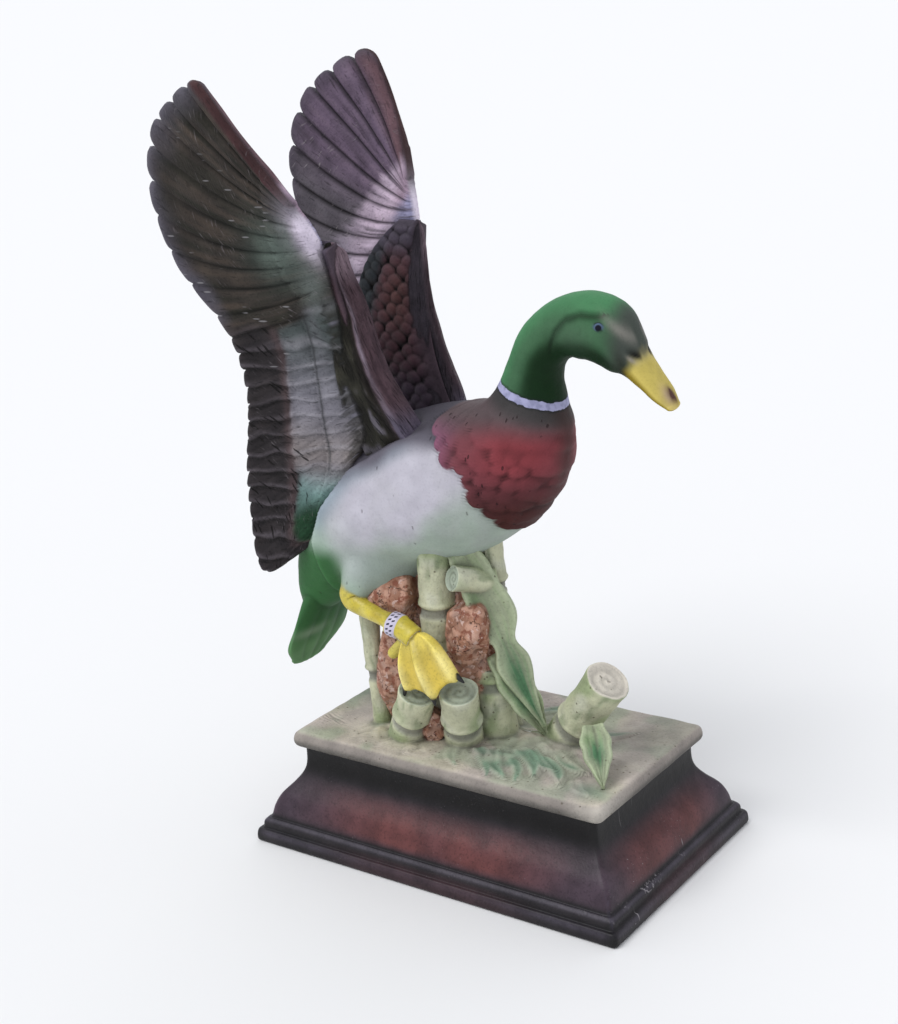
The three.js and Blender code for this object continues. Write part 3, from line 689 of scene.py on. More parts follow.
def upper_coverts(side):
    """The scaled upper coverts: a plate of overlapping rounded scales on the arm's inner face."""
    along, across = np.linspace(0, 1, SCALE_ROWS)[:, None], np.linspace(0, 1, SCALE_COLUMNS)
    z = SCALES_TOP + (SCALES_BOTTOM - SCALES_TOP) * along + 0 * across
    left, right = read_rows(SCALE_EDGES, along[:, 0] * (len(SCALE_EDGES) - 1)).T[..., None]
    x = left + (right - left) * across
    plane = np.interp(z[:, :1], [156, 175, 188, 202, 217, 227], [10.2, 13.2, 15.6, 17.8, 20.8, 23.2])
    y = plane + (-34 - x) * 0.10 + np.maximum(0, -52 - x) * 0.16
    height, shade = np.zeros_like(x), np.zeros_like(x)
    for r in range(-1, 22):
        for k in range(-3, 8):
            big = 1.1 if r > 16 or r < 4 else 1.0
            cx = -30 - SCALE_WIDTH * (k + 0.5 * (r % 2)) + 0.9 * math.sin(5.3 * r + 2.7 * k)
            cx -= 0.12 * (r * SCALE_PITCH - 30)
            cz = SCALES_BOTTOM + r * SCALE_PITCH + 0.7 * math.sin(2.1 * k + 1.3 * r)
            u = (x - cx) / (SCALE_WIDTH * (0.56 + 0.07 * math.sin(3.1 * k + r)) * big)
            w = (z - cz) / (SCALE_PITCH * big)
            inside = np.clip(1 - u ** 2 - w ** 2, 0, 1)
            dome = np.sqrt(inside) * (0.62 + 0.38 * w) + 0.02 * inside
            shade = np.where(dome > height, w, shade)
            height = np.maximum(height, dome)
    soft = ramp(across, 0.72, 0.95)
    height = height * (1 - 0.85 * soft)
    margin = np.minimum(np.minimum(across * 26, (1 - across) * 8), np.minimum(along, 1 - along) * 22)
    edge = ramp(margin, 0, 1)
    sink = 1.2 * soft
    front = np.stack([x, side * (y - (0.2 + 2.5 * height) * edge + sink), z], -1)
    back = np.stack([x, side * (y + 5.5 * edge + sink), z], -1)
    points, faces = sheet(front, back)
    paint = coats(
        "49333a",
        "573a38", spot(x, z, -44, 199, 9, 13) * 0.9,
        "2c3034", ramp(-x + 0.25 * (z - 200), 52, 58),
        "4d4753", ramp(z, 212, 221) * 0.9,
        "3d3642", ramp(z, 178, 166) * 0.8,
        # Painted highlight on the upper part of each scale, painted shade on its lower part and in the
        # creases between scales.
        "77646a", ramp(shade * height, 0.42, 0.75) * 0.65,
        "1f181b", ramp(shade, 0.0, -0.75) * 0.75 * (1 - soft),
        "120d0f", ramp(height, 0.42, 0.08) * (1 - soft),
        "453a42", soft * 0.85)
    return form(points, faces, sheet_values(paint, paint), "wing", order=60.0, run=0.0)


def limb(rows, rings, sides):
    """Evenly spaced rows of places and radii along a limb, and the rings round them."""
    rows = np.asarray(rows, float)
    fine = read_rows(rows, even(rows[:, :3], rings))
    return fine, tube(fine[:, :3], fine[:, 3], sides)


def thigh():
    points, faces = skin(rounded(limb(THIGH, 50, 90)[1], 0, 2.2, 6))
    x, z = points.T[[0, 2]]
    rise = ((x + 38) * -0.545 + (z - 127) * 0.839) / 27
    paint = coats(
        body_paint(points, rise, np.full(len(z), MARKS["patch"]), 0 * z)[0],
        "acb4b1", ramp(z, 99, 108) * 0.85,
        "87948a", ramp(x, -42, -34) * 0.8,
        "4d764d", ramp(x, -46, -51) * ramp(z, 114, 106) * 0.9)
    return form(points, faces, paint, "plumage")


def leg():
    fine, rings = limb(LEG, LEG_RINGS, LEG_SIDES)
    points, faces = skin(rings)
    x, z = points.T[[0, 2]]
    drift = rough(points, 4, 2)
    run = (x + 22.5) * 0.975 - (z - 89.6) * 0.22
    points = points + (points - from_rings(fine[:, :3], LEG_SIDES)) * (0.05 * drift)[:, None]
    paint = coats("c9b944", "a8922a", drift * 0.8, "d9cf8a", drift * -0.5)
    turn = from_turns(np.arange(LEG_SIDES) * 0.64, LEG_RINGS)
    return form(points, faces, paint, "leg", order=run, run=turn)


def foot():
    """Webbed foot: a fan of three ridged toes from the ankle, draped over the cut stubs."""
    ankle, toes = np.array(ANKLE, float), np.array(TOES, float)
    t, s = np.linspace(0, 1, 73), np.linspace(0, 1, 50)
    toe = np.maximum.reduce([bump_at(t, centre, 0.09) for centre in (0.04, 0.5, 0.93)])[:, None]
    ends = ankle + (read_rows(toes, t * 2) - ankle) * (0.95 + 0.1 * toe)
    side = unit(np.cross(toes[0] - ankle, toes[2] - ankle))
    side *= -np.sign(side[1])
    spread = unit(toes[2] - toes[0])
    t = t[:, None]
    grid = ankle + (ends - ankle)[:, None] * s[:, None]
    grid = grid + spread * ((t - 0.5) * 7 * (1 - s))[..., None]
    grid = grid + np.array([0.62, 0.1, 0.78]) * (3.6 * ramp(t, 0.45, 1) * np.sin(np.pi * s ** 0.8))[..., None]
    grid = grid - spread * (0.8 * ramp(t, 0.3, 0) * np.sin(np.pi * s))[..., None]
    drape = 1.8 * np.sin(np.pi * s)
    swell = bulge(np.minimum(np.minimum(t, 1 - t) * 14, np.minimum(s, 1 - s) * 11))
    ridge = toe * (0.6 + 0.4 * np.cos(np.pi * (s - 0.55) * 1.3))
    front = grid + side * (drape + (1.5 + 1.6 * ridge) * swell)[..., None]
    back = grid - side * (1.8 * swell - drape)[..., None]
    points, faces = sheet(front, back)
    paint = coats(
        "e3cf60",
        # Painted shade in the web between the toes, and a painted highlight along the toes' ridges.
        "c9ab38", (1 - toe) * ramp(s, 0.1, 0.6) * 0.6,
        "ebe0a6", ridge * ramp(s, 0.3, 0.7) * 0.5)
    return form(points, faces, sheet_values(paint, paint), "leg")


def toe_bits():
    """Three claws and the hind toe."""
    ankle = np.array(ANKLE, float)
    bits = []
    for toe in TOES:
        path = toe + unit(toe - ankle) * np.linspace(-1.4, 2.8, 13)[:, None] + (0, -0.7, -0.3)
        points, faces = skin(rounded(tube(path, 1.25 * np.sqrt(np.linspace(1, 0.06, 13)), 18), 0, 0.3))
        bits.append(form(points, faces, ink("15130f"), "leg"))
    path = read_rows([ankle, (ankle + HIND_TOE) / 2, HIND_TOE], np.linspace(0, 2, 22))
    points, faces = skin(rounded(tube(path, np.linspace(2.8, 2.1, 22), 26), 0, 2, 6))
    return [*bits, form(points, faces, ink("c2b44e"), "leg")]


def eye(side):
    centre = np.array(EYE) * (1, -side, 1)
    axis = unit(np.array([0.28, side * 0.96, 0.05]))
    across = unit(np.cross(axis, (0, 0, 1)))
    turn = circle(EYE_SIDES)[:, None]
    wheel = np.cos(turn) * across + np.sin(turn) * np.cross(across, axis)
    angles = np.linspace(0.08, np.pi - 0.08, 34)
    points, faces = skin([centre + axis * (1.2 * math.cos(a)) + wheel * (2.0 * math.sin(a)) for a in angles])
    off = points - centre
    radial = np.linalg.norm(off - (off @ axis)[:, None] * axis, axis=1)
    paint = coats("1b2a24", "50627a", ramp(radial, 1.75, 1.5), "0d1020", ramp(radial, 1.2, 0.95))
    return form(points, faces, paint, "plumage", ring=30.0)


# The ground: slab, bamboo, stones and leaves.
def block(length, width, corner, section, pitch, arc_steps=5):
    """Rings of a rounded rectangle with evenly split sides, from insets and heights."""
    rings = []
    for inset, height in section:
        ring = []
        half = np.maximum(np.array([length, width]) / 2 - inset - corner, 0.02)
        radius = corner * min(1, max(0.05, (width / 2 - inset) / (4 * corner)))
        for quarter in range(4):
            centre, following = half * CORNERS[quarter], half * CORNERS[(quarter + 1) % 4]
            for angle in math.pi / 2 * (quarter + np.linspace(0, 1, arc_steps)):
                arm = np.array([math.cos(angle), math.sin(angle)]) * radius
                ring.append((*(centre + arm), height))
            count = int((width if quarter % 2 else length) / pitch)
            ring += [(*(centre + arm + (following - centre) * i / count), height) for i in range(1, count)]
        rings.append(ring)
    return np.array(rings)


# Low leaves in relief on the slab: root and tip x, y, half width, height.
RELIEF_LEAVES = [
    (4, -19, 17, -33, 4.6, 1.5), (11, -16, 27, -34, 4.8, 1.6), (17, -13, 36, -30, 5.2, 1.6),
    (23, -11, 41, -22, 4.8, 1.4), (28, -15, 47, -31, 4.4, 1.2), (-3, -22, 6, -34, 3.8, 1.2),
    (8, -24, 20, -36, 3.4, 1.1), (33, -9, 52, -17, 4.0, 1.0), (20, -20, 31, -36, 3.2, 1.1),
    (-24, -26, -30, -35, 2.6, 0.9), (-31, -22, -43, -31, 2.8, 0.9), (-17, -27, -16, -35, 2.2, 0.8),
    (-38, -27, -37, -35, 2.2, 0.7), (28, 8, 50, 20, 4.4, 1.1), (6, 12, 24, 28, 4.6, 1.2),
    (-20, 22, -38, 33, 4.2, 1.1), (-12, 22, -4, 35, 3.8, 1.0), (48, -22, 60, -32, 3.6, 0.8),
]


def terrain(x, y):
    """Height of the modelled ground over the slab's top, and how green it is."""
    place = np.column_stack([x, y, 0 * x])
    mound = 2.4 * spot(x, y, -8, -4, 32, 22) + 1.3 * spot(x, y, 27, -4, 12, 14)
    mound += (1.4 + 0.9 * rough(place, 3, 8)) * spot(x, y, -36, -27, 8, 6)
    height = mound + 0.5 * rough(place, 13, 1) + 0.12 * rough(place, 2, 3)
    height += 0.9 * rough(place, 4, 2) * ramp(mound, 0.25, 1.2)
    green = 0 * x
    for i, (rx, ry, tx, ty, half, rise) in enumerate(RELIEF_LEAVES):
        long = math.hypot(tx - rx, ty - ry)
        ux, uy = (tx - rx) / long, (ty - ry) / long
        t = ((x - rx) * ux + (y - ry) * uy) / long
        on = np.clip(t, 0, 1)
        bend = 0.12 * long * np.sin(np.pi * on) * (1 if i % 2 else -1)
        wide = half * np.maximum(0.05, np.sin(np.pi * (0.2 + 0.8 * on)))
        s = (-(x - rx) * uy + (y - ry) * ux + bend) / wide
        inside = ramp(1 - np.abs(s), 0, 0.55) * ramp(t, 0, 0.15) * ramp(t, 1, 0.94)
        leafy = rise * inside * (1 - 0.4 * bump_at(s, 0, 0.32))
        height = np.maximum(height, mound * 0.6 + leafy)
        green = np.maximum(green, inside * bump_at(s, 0, 0.6) * (x > -10))
    crack = np.abs((y + 21) * 0.94 + (x + 62) * 0.34 + 0.7 * rough(place, 5, 9))
    height -= 1.1 * bump_at(crack, 0, 0.5) * bump_at(x, -60, 5)
    return height, green


def slab():
    section = read_rows(SLAB_SECTION, np.linspace(0, len(SLAB_SECTION) - 1, 18)).tolist()
    section += [(inset, SLAB_TOP) for inset in np.linspace(3.0, SLAB_WIDTH / 2 - SLAB_CORNER - 0.1, 50)]
    points, faces = skin(block(SLAB_LENGTH, SLAB_WIDTH, SLAB_CORNER, section, SLAB_PITCH))
    x, y, z = points.T
    top = ramp(z, SLAB_TOP - 0.9, SLAB_TOP - 0.05)
    border = np.minimum(SLAB_LENGTH / 2 - np.abs(x), SLAB_WIDTH / 2 - np.abs(y))
    height, green = terrain(x, y)
    points[:, 2] += top * height * ramp(border, 1.5, 6)
    points[:, :2] *= (1 + 0.003 * rough(points, 11, 4) * (1 - top))[:, None]
    points[:, 2] += 0.25 * rough(points, 6, 14) * ramp(z, 37, 40)
    drift = rough(points, 20, 5)
    paint = coats(
        "bfb4ab",
        "b5b199", ramp(drift, -0.1, 0.4) * 0.6 * top,
        "c4c2a6", spot(x, y, -24, -24, 20, 9) * top * 0.9,
        "98a48c", ramp(rough(points, 12, 6) + 0.5 * bump_at(x, 25, 24), 0.1, 0.5) * 0.6 * top,
        "6d8f77", green * top * ramp(rough(points, 13, 16), -0.25, 0.1) * 0.8 * ramp(np.abs(x - 25), 30, 18),
        "6f917a", spot(x, y, 22, -22, 11, 8) * top * (0.5 + 0.6 * rough(points, 5, 18)),
        "57806a", spot(x, y, 57, -28, 7, 6) * top * 0.6,
        "807e77", ramp(x, 30, 60) * ramp(y, -22, 12) * top * 0.65,
        "6c7a68", ramp(x, -42, -60) * ramp(y, -20, 10) * top * 0.7,
        "605d58", (1 - top) * (0.95 - 0.35 * ramp(z, 38.5, 41)),
        "b9b3a9", ramp(x, 50, 66) * ramp(y, -12, -36) * (1 - top) * 0.7)
    return form(points, faces, paint, "ground")


def stalk(row, index):
    """A cut cane: nodes along it, and a hollowed, spiralled cut end."""
    foot_radius, head_radius, nodes = row[6:]
    start, end = np.reshape(row[:6], (2, 3)).astype(float)
    length = np.linalg.norm(end - start)
    along = (end - start) / length
    share = np.linspace(0, 1, max(STALK_LEAST, int(length / STALK_PITCH)))
    radius = foot_radius + (head_radius - foot_radius) * share
    collar, previous = np.zeros_like(share), 0.0
    for node in (*nodes, 1.0):
        waist = bump_at(share, (previous + node) / 2, max(0.05, (node - previous) / 3))
        radius -= 0.05 * foot_radius * waist
        if node < 1:
            gap = (share - node) * length
            under = ramp(gap, -0.1, -0.5)
            radius += 0.55 * bump_at(gap, 0.9, 0.8) - 0.8 * under * ramp(gap, -4.6, -3.4)
            collar += under * ramp(gap, -5, -3.4)
        previous = node
    path = start + (end - start) * share[:, None]
    rings = tube(path, radius, STALK_SIDES)
    turn, edge = circle(STALK_SIDES), rings[-1]
    lip = [edge + along * 0.4 + (end - edge) * 0.05]
    for k in np.linspace(0.12, 0.97, CUT_RINGS):
        swirl = 0.13 * np.cos(k * 15 + turn) - 0.3 * ramp(k, 0.05, 0.3)
        lip.append(edge + (end - edge) * k + along * swirl[:, None])
    rings = np.concatenate([rings, lip])
    points, faces = skin(rings)
    out = points - from_rings(np.concatenate([path, np.tile(end, (len(lip), 1))]), STALK_SIDES)
    reach = np.linalg.norm(out, axis=1)
    around = from_turns(turn, len(rings)) * foot_radius
    scratch = rough_grid(2.2, 30 + index, around, (points - start) @ along * 0.3, 0)
    push = 0.35 * rough(points, 5, 7 + index) + 0.3 * np.clip(scratch, -1, 0)
    push = push * (reach > head_radius * 0.8) / np.maximum(reach, 0.1)
    points += out * push[:, None]
    grey, cut = [from_rings(np.concatenate(values), STALK_SIDES)
                 for values in ((collar, np.zeros(len(lip))), (np.zeros(len(share)), np.ones(len(lip))))]
    paint = coats(
        "babb9f",
        "8b9a72", ramp(rough(points, 11, 9 + index), -0.05, 0.5) * 0.8,
        "c2c3b0", ramp(rough(points, 7, 5 + index), 0.05, 0.6) * 0.7,
        "6f8060", ramp(scratch, -0.25, -0.6) * 0.5,
        "85857e", grey * 0.75,
        "d6cec3" if index == len(BAMBOO) - 1 else "a5b09f", cut * 0.85)
    return form(points, faces, paint, "ground")


def stone(row, index):
    """A rough chip of rock with broken facets, narrower at its foot."""
    x, y, z, a, b, c = row
    chance = np.random.default_rng(40 + index)
    facets = unit(chance.normal(size=(STONE_FACETS, 3)))
    far = chance.uniform(0.66, 0.96, STONE_FACETS)
    turn = circle(STONE_SIDES)
    latitudes = np.linspace(-np.pi / 2 + 0.04, np.pi / 2 - 0.04, 60)[:, None]
    wide = np.cos(latitudes)
    ball = np.broadcast_arrays(wide * np.cos(turn), wide * np.sin(turn), np.sin(latitudes))
    points, faces = skin(np.stack(ball, -1))
    points = unit(points)
    reach = 1 / np.maximum(points @ facets.T / far, 0.2)
    reach = np.append(reach, np.full((len(points), 1), 1.04), axis=1)
    points *= (-np.log(np.exp(-60 * reach).sum(1)) / 60 + 0.04)[:, None]
    points[:, :2] *= 1 + 0.3 * points[:, 2:]
    points *= (a, b, c * 0.86)
    chips = 1.1 * np.abs(rough(points + 40 * index, 6, 12)) - 0.35 * rough(points + 9 * index, 2.2, 13)
    points += unit(points) * (0.6 - chips)[:, None] + (x, y, z)
    paint = coats("9f735e", "bb9a8b", ramp(rough(points, 5, 17 + index), 0.05, 0.4) * 0.8)
    return form(points, faces, paint, "stone")


def leaf(row, index):
    """A folded blade with a rib, bowed out between root and tip."""
    half, sag, waist = row[6:]
    root, tip = np.reshape(row[:6], (2, 3)).astype(float)
    along = unit(tip - root)
    across = unit(np.cross(LEAF_FACING, along))
    out = np.cross(along, across)
    t, s = np.linspace(0, 1, 96)[:, None], np.linspace(-1, 1, 31)
    wide = half * np.maximum(0.12, np.sin(np.pi * (0.22 + 0.78 * t))) * (1 + 0.05 * np.sin(t * 21 + index))
    wide = wide * (1 - waist * bump_at(t, 0.52, 0.07))
    centre = root + (tip - root) * t + out * (sag * np.sin(np.pi * t))
    centre = centre + across * (waist * 1.6 * np.sin(2 * np.pi * t))
    vein = rough_grid(1.6, 40, s * 9, t * 5, index * 7.0)
    fold = 1.6 * np.abs(s) - 0.3 + 0.45 * vein
    grid = centre[:, None] + across * (wide * s)[..., None]
    swell = bulge(np.minimum((1 - np.abs(s)) * half, np.minimum(t, 1 - t) * 25))
    front = grid + out * ((fold * 0.8 + 0.8) * swell)[..., None]
    back = grid - out * (1.2 * swell)[..., None]
    points, faces = sheet(front, back)
    green = bump_at(s, 0, 0.5) * bump_at(t, 0.75 if waist else 0.5, 0.2)
    paint = coats(
        "a5ae90",
        "8d9f78", ramp(vein, 0, 0.4) * 0.5,
        "4f7d58", np.clip(green * (1.1 + vein), 0, 1) * 0.95,
        "6f8b5e", bump_at(s, -0.5, 0.3) * bump_at(t, 0.28, 0.12) * 0.7)
    return form(points, faces, sheet_values(paint, paint), "ground")


def plinth_form():
    section = read_rows(PLINTH_SECTION, np.linspace(0, len(PLINTH_SECTION) - 1, 80)).tolist()
    points, faces = skin(block(PLINTH_LENGTH, PLINTH_WIDTH, PLINTH_CORNER, section, 1.6))
    x, y, z = points.T
    far_x, far_y = PLINTH_LENGTH / 2 - np.abs(x), PLINTH_WIDTH / 2 - np.abs(y)
    run = np.where(far_x < far_y, np.abs(y) / (PLINTH_WIDTH / 2), np.abs(x) / (PLINTH_LENGTH / 2))
    drift = rough(points, 15, 1)
    arris = ramp(np.abs(far_x - far_y), 1.4, 0.4)
    glow = ramp(run + 0.1 * drift, 0.84, 0.25) * ramp(z, 9, 13) * ramp(z, 27, 19)
    paint = coats(
        "282528",
        "473a44", ramp(z, 9, 12) * ramp(z, 29, 17) * 0.95,
        "673c3b", np.clip(glow * (0.95 + 0.4 * drift), 0, 1),
        "110f10", ramp(z, 24.5, 30),
        # Painted highlights on the rounded edges of the mouldings and painted shade in the creases just above
        # them.
        "56505c", bump_at(z, 4.0, 1.2) * 0.5 + bump_at(z, 8.6, 0.7) * 0.55,
        "131214", bump_at(z, 5.5, 0.5) * 0.8 + bump_at(z, 9.5, 0.5) * 0.7,
        "452f34", ramp(run, 0.7, 0.2) * ramp(z, 8, 5) * 0.6,
        "111011", ramp(run, 0.92, 0.99) * 0.85,
        # Painted highlight, with some rubbed wear, along the vertical corner edges.
        "5b5665", arris * ramp(run, 0.88, 1.0) * ramp(z, 3, 12) * ramp(z, 28, 20) * 0.7)
    return form(points, faces, paint, "lacquer", order=x, run=z)


# Materials.
class Value:
    """The value of a socket, for sums with other values and numbers."""

    def __init__(self, tree, socket):
        self.tree, self.socket = tree, socket

    def __add__(self, other):
        return self.tree.maths("ADD", self, other)

    def __sub__(self, other):
        return self.tree.maths("SUBTRACT", self, other)

    def __mul__(self, other):
        return self.tree.maths("MULTIPLY", self, other)

    def __abs__(self):
        return self.tree.maths("ABSOLUTE", self, 0.0)

    def rise(self, low, high):
        """A smooth rise from 0 at low to 1 at high, or a fall where low is above high."""
        made = self.tree.node("MapRange", interpolation_type="SMOOTHSTEP")
        return self.tree.wired(made, self, low, high, 0.0, 1.0)


class Tree:
    """A short way to wire a node material."""

    def __init__(self, name, roughness, specular, mottle):
        self.material = bpy.data.materials.new(name)
        self.material.use_nodes = True
        self.nodes = self.material.node_tree
        self.shader = self.nodes.nodes["Principled BSDF"]
        self.shader.inputs["Roughness"].default_value = roughness
        self.shader.inputs["Specular IOR Level"].default_value = specular
        self.paint = self.mark("paint", "Color")
        self.lay("a5a5aa", self.noise(9, 4).rise(0.65, 0.35) * mottle, "MULTIPLY")
        self.lay("8f8f94", self.noise(0.9, 4).rise(0.5, 0.3) * (mottle * 0.7), "MULTIPLY")

    def node(self, kind, **settings):
        made = self.nodes.nodes.new("ShaderNode" + kind)
        for key, value in settings.items():
            setattr(made, key, value)
        return made

    def put(self, socket, value):
        if isinstance(value, Value):
            self.nodes.links.new(value.socket, socket)
        else:
            socket.default_value = value

    def wired(self, node, *values, output=0):
        """The output of a node, with its first inputs set."""
        for socket, value in zip(node.inputs, values):
            self.put(socket, value)
        return Value(self, node.outputs[output])

    def mark(self, name, output="Fac"):
        return self.wired(self.node("Attribute", attribute_name=name), output=output)

    def maths(self, operation, a, b):
        return self.wired(self.node("Math", operation=operation), a, b)

    def place(self):
        return self.wired(self.node("TexCoord"), output="Object")

    def vector(self, x, y):
        return self.wired(self.node("CombineXYZ"), x, y)

    def turned(self, turn, scale):
        """Places turned by angles in degrees and then scaled."""
        made = self.node("Mapping")
        made.inputs["Rotation"].default_value = [math.radians(angle) for angle in turn]
        made.inputs["Scale"].default_value = scale
        return self.wired(made, self.place())

    def texture(self, kind, output, size, vector, **settings):
        """A texture with waves or cells of the given size, in mm where no vector is given."""
        made = self.node(kind)
        settings |= {"Vector": vector or self.place(), "Scale": 1 / size if vector else 1 / (size * MM)}
        for name, value in settings.items():
            self.put(made.inputs[name], value)
        return self.wired(made, output=output)

    def noise(self, size, detail, vector=None):
        return self.texture("TexNoise", "Fac", size, vector, Detail=detail)

    def cells(self, size, vector=None):
        """Distance from scattered points."""
        return self.texture("TexVoronoi", "Distance", size, vector)

    def strokes(self, vector, size, width):
        """Short strokes: scattered points in a space squeezed across the stroke."""
        return self.cells(size, vector).rise(width, width * 0.6)

    def lay(self, code, weight, kind="MIX"):
        """A coat of a colour over the paint so far."""
        made = self.node("Mix", data_type="RGBA", blend_type=kind)
        for index, value in ((0, weight), (6, self.paint), (7, (*ink(code), 1))):
            self.put(made.inputs[index], value)
        self.paint = Value(self, made.outputs[2])

    def finish(self, height, depth):
        self.put(self.shader.inputs["Base Color"], self.paint)
        made = self.node("Bump")
        self.put(made.inputs["Height"], height)
        self.put(made.inputs["Distance"], depth * MM)
        self.put(self.shader.inputs["Normal"], Value(self, made.outputs[0]))
        return self.material


def plumage():
    tree = Tree("painted_plumage", 0.6, 0.15, 0.16)
    barbs = tree.turned((0, -28, 0), (1150, 350, 480))
    inside = tree.mark("patch").rise(-0.3, 1.2)
    body = tree.mark("ring").rise(-3.0, -5.0)
    cuts = tree.strokes(barbs, 2.0, 0.2) * tree.noise(5, 2).rise(0.47, 0.57) * inside * body
    cuts += tree.strokes(barbs, 4.2, 0.11) * 0.55 * body * tree.noise(9, 2).rise(0.5, 0.6)
    tree.lay("261618", cuts * 0.7)
    ring = abs(tree.mark("ring") + (tree.noise(2.4, 3) - 0.5) * 1.5)
    white = ring.rise(1.35, 1.1)
    tree.lay("141d1b", ring.rise(2.3, 1.4) * 0.55)
    tree.lay("a3a3c4", white)
    tree.lay("8b8cab", white * tree.noise(3, 3).rise(0.45, 0.65))
    return tree.finish(tree.noise(0.8, 4) * 0.3 - cuts + white * 0.5, 0.4)


def wing_finish():
    tree = Tree("painted_wing", 0.6, 0.14, 0.45)
    order, run = tree.mark("order"), tree.mark("run")
    wide = order * 5.0
    along = tree.vector(wide + run * 0.8, (run - order * 3.0) * 0.16)
    barbs = tree.noise(0.75, 2, along)
    shafts = tree.noise(0.6, 2, tree.vector(wide, run * 0.09))
    patches = tree.noise(10, 2).rise(0.34, 0.46) * order.rise(8.5, 10.5) * run.rise(27.5, 30.5)
    dark = tree.strokes(along, 1.7, 0.3) * patches
    tree.lay("0b0908", dark * 0.85)
    hatch = order.rise(3.5, 5.0) * order.rise(9.0, 7.5) * run.rise(-8.0, -14.0) * 0.5 + 0.35
    tree.lay("8b8488", barbs.rise(0.6, 0.75) * tree.noise(12, 2).rise(0.45, 0.6) * hatch)
    tree.lay("0e0c0c", shafts.rise(0.42, 0.28) * 0.5)
    outer = run.rise(12.0, 18.0) * order.rise(2.0, 4.0) * order.rise(14.0, 11.0)
    # Painted glints: small pale strokes of highlight on the outer feathers.
    glints = tree.strokes(tree.turned((0, 12, 0), (250, 60, 1350)), 3.0, 0.17)
    tree.lay("8c8a8d", glints * outer * tree.noise(12, 1).rise(0.42, 0.5) * 0.6)
    return tree.finish(barbs * 0.5 + shafts * 0.5 + tree.noise(0.8, 3) * 0.3 - dark, 0.42)


def leg_finish():
    """Yellow, with a pale band near the middle that carries two rows of slanted dashes."""
    tree = Tree("painted_leg", 0.35, 0.4, 0.4)
    run, turn = tree.mark("order"), tree.mark("run")
    along = abs(run)
    tree.lay("c6c0d4", along.rise(2.35, 2.2))
    slant = (turn + run * 0.5) * 0.55
    shift = tree.maths("GREATER_THAN", run, 0.0) * 0.5
    dash = abs(tree.maths("FRACT", slant + shift, 0.0) - 0.5)
    marks = dash.rise(0.22, 0.14) * abs(along - 0.85).rise(0.62, 0.5)
    tree.lay("221f3c", marks)
    return tree.finish(tree.noise(1.2, 4) * 0.5 - marks * 0.6, 0.35)


def ground_finish():
    tree = Tree("painted_ground", 0.6, 0.25, 0.3)
    tree.lay("504838", tree.cells(2.6).rise(0.2, 0.1) * tree.noise(7, 2).rise(0.5, 0.6) * 0.7)
    return tree.finish(tree.noise(2.4, 4) * 0.9 + tree.noise(0.7, 3) * 0.35, 0.6)


def stone_finish():
    tree = Tree("painted_stone", 0.65, 0.25, 0.4)
    patches = tree.noise(3.4, 6)
    tree.lay("bd9380", patches.rise(0.48, 0.62))
    tree.lay("7a4433", tree.noise(2.6, 5).rise(0.55, 0.63) * 0.8)
    lines = abs(tree.noise(5.5, 4) - 0.5).rise(0.012, 0.004) * tree.noise(6, 1).rise(0.5, 0.6)
    pits = tree.noise(1.3, 3).rise(0.38, 0.32) * tree.noise(5, 2).rise(0.45, 0.6)
    dark = tree.maths("MAXIMUM", lines, pits * 0.8)
    tree.lay("33211a", dark * 0.75)
    tree.lay("cdb2a9", tree.noise(2.2, 4).rise(0.58, 0.66) * 0.8)
    return tree.finish(patches - dark * 0.5, 0.7)


def lacquer_finish():
    """Worn on the short side: scratches there, specks, and chips along the step."""
    tree = Tree("airbrushed_base", 0.42, 0.22, 0.55)
    side = tree.mark("order").rise(62.0, 68.0)
    worn = tree.strokes(tree.turned((20, 0, 0), (200, 1700, 150)), 5.0, 0.12) * side
    worn *= tree.noise(14, 1).rise(0.46, 0.54)
    dots = tree.noise(0.8, 4).rise(0.66, 0.71) * tree.noise(16, 2).rise(0.52, 0.62) * (side * 0.8 + 0.2)
    step = side * abs(tree.mark("run") - 8.6).rise(1.6, 0.6)
    chips = tree.noise(1.3, 4).rise(0.52, 0.6) * tree.noise(17, 2).rise(0.48, 0.58) * step
    tree.lay("9d989c", tree.maths("MAXIMUM", worn, tree.maths("MAXIMUM", dots, chips)) * 0.7)
    return tree.finish(tree.noise(3.0, 4) * 0.8 + tree.noise(0.8, 3) * 0.3, 0.2)


FINISHES = {
    "plumage": plumage(), "wing": wing_finish(), "leg": leg_finish(), "ground": ground_finish(),
    "stone": stone_finish(), "lacquer": lacquer_finish(),
}


# Casting: forms joined into one closed mesh, with soft fillets, painted shade in the hollows, and painted
# highlight and rubbed wear on the edges.
def part_code(number):
    """A mark that no seam point between two forms shares with either of them."""
    return number + 1.37


def mesh_of(shape, number):
    mesh = bpy.data.meshes.new(f"form_{number}")
    mesh.from_pydata((shape["points"] * MM).tolist(), [], shape["faces"])
    paint = mesh.attributes.new("paint", "FLOAT_COLOR", "POINT")
    paint.data.foreach_set("color", np.column_stack([shape["paint"], np.ones(len(shape["paint"]))]).ravel())
    for key in MARKS:
        mesh.attributes.new(key, "FLOAT", "POINT").data.foreach_set("value", shape[key])
    part = mesh.attributes.new("part", "FLOAT", "POINT")
    part.data.foreach_set("value", np.full(len(shape["paint"]), part_code(number)))
    mesh.materials.append(FINISHES[shape["finish"]])
    return mesh


def stand(name, data):
    """A new object in the scene."""
    made = bpy.data.objects.new(name, data)
    bpy.context.collection.objects.link(made)
    return made


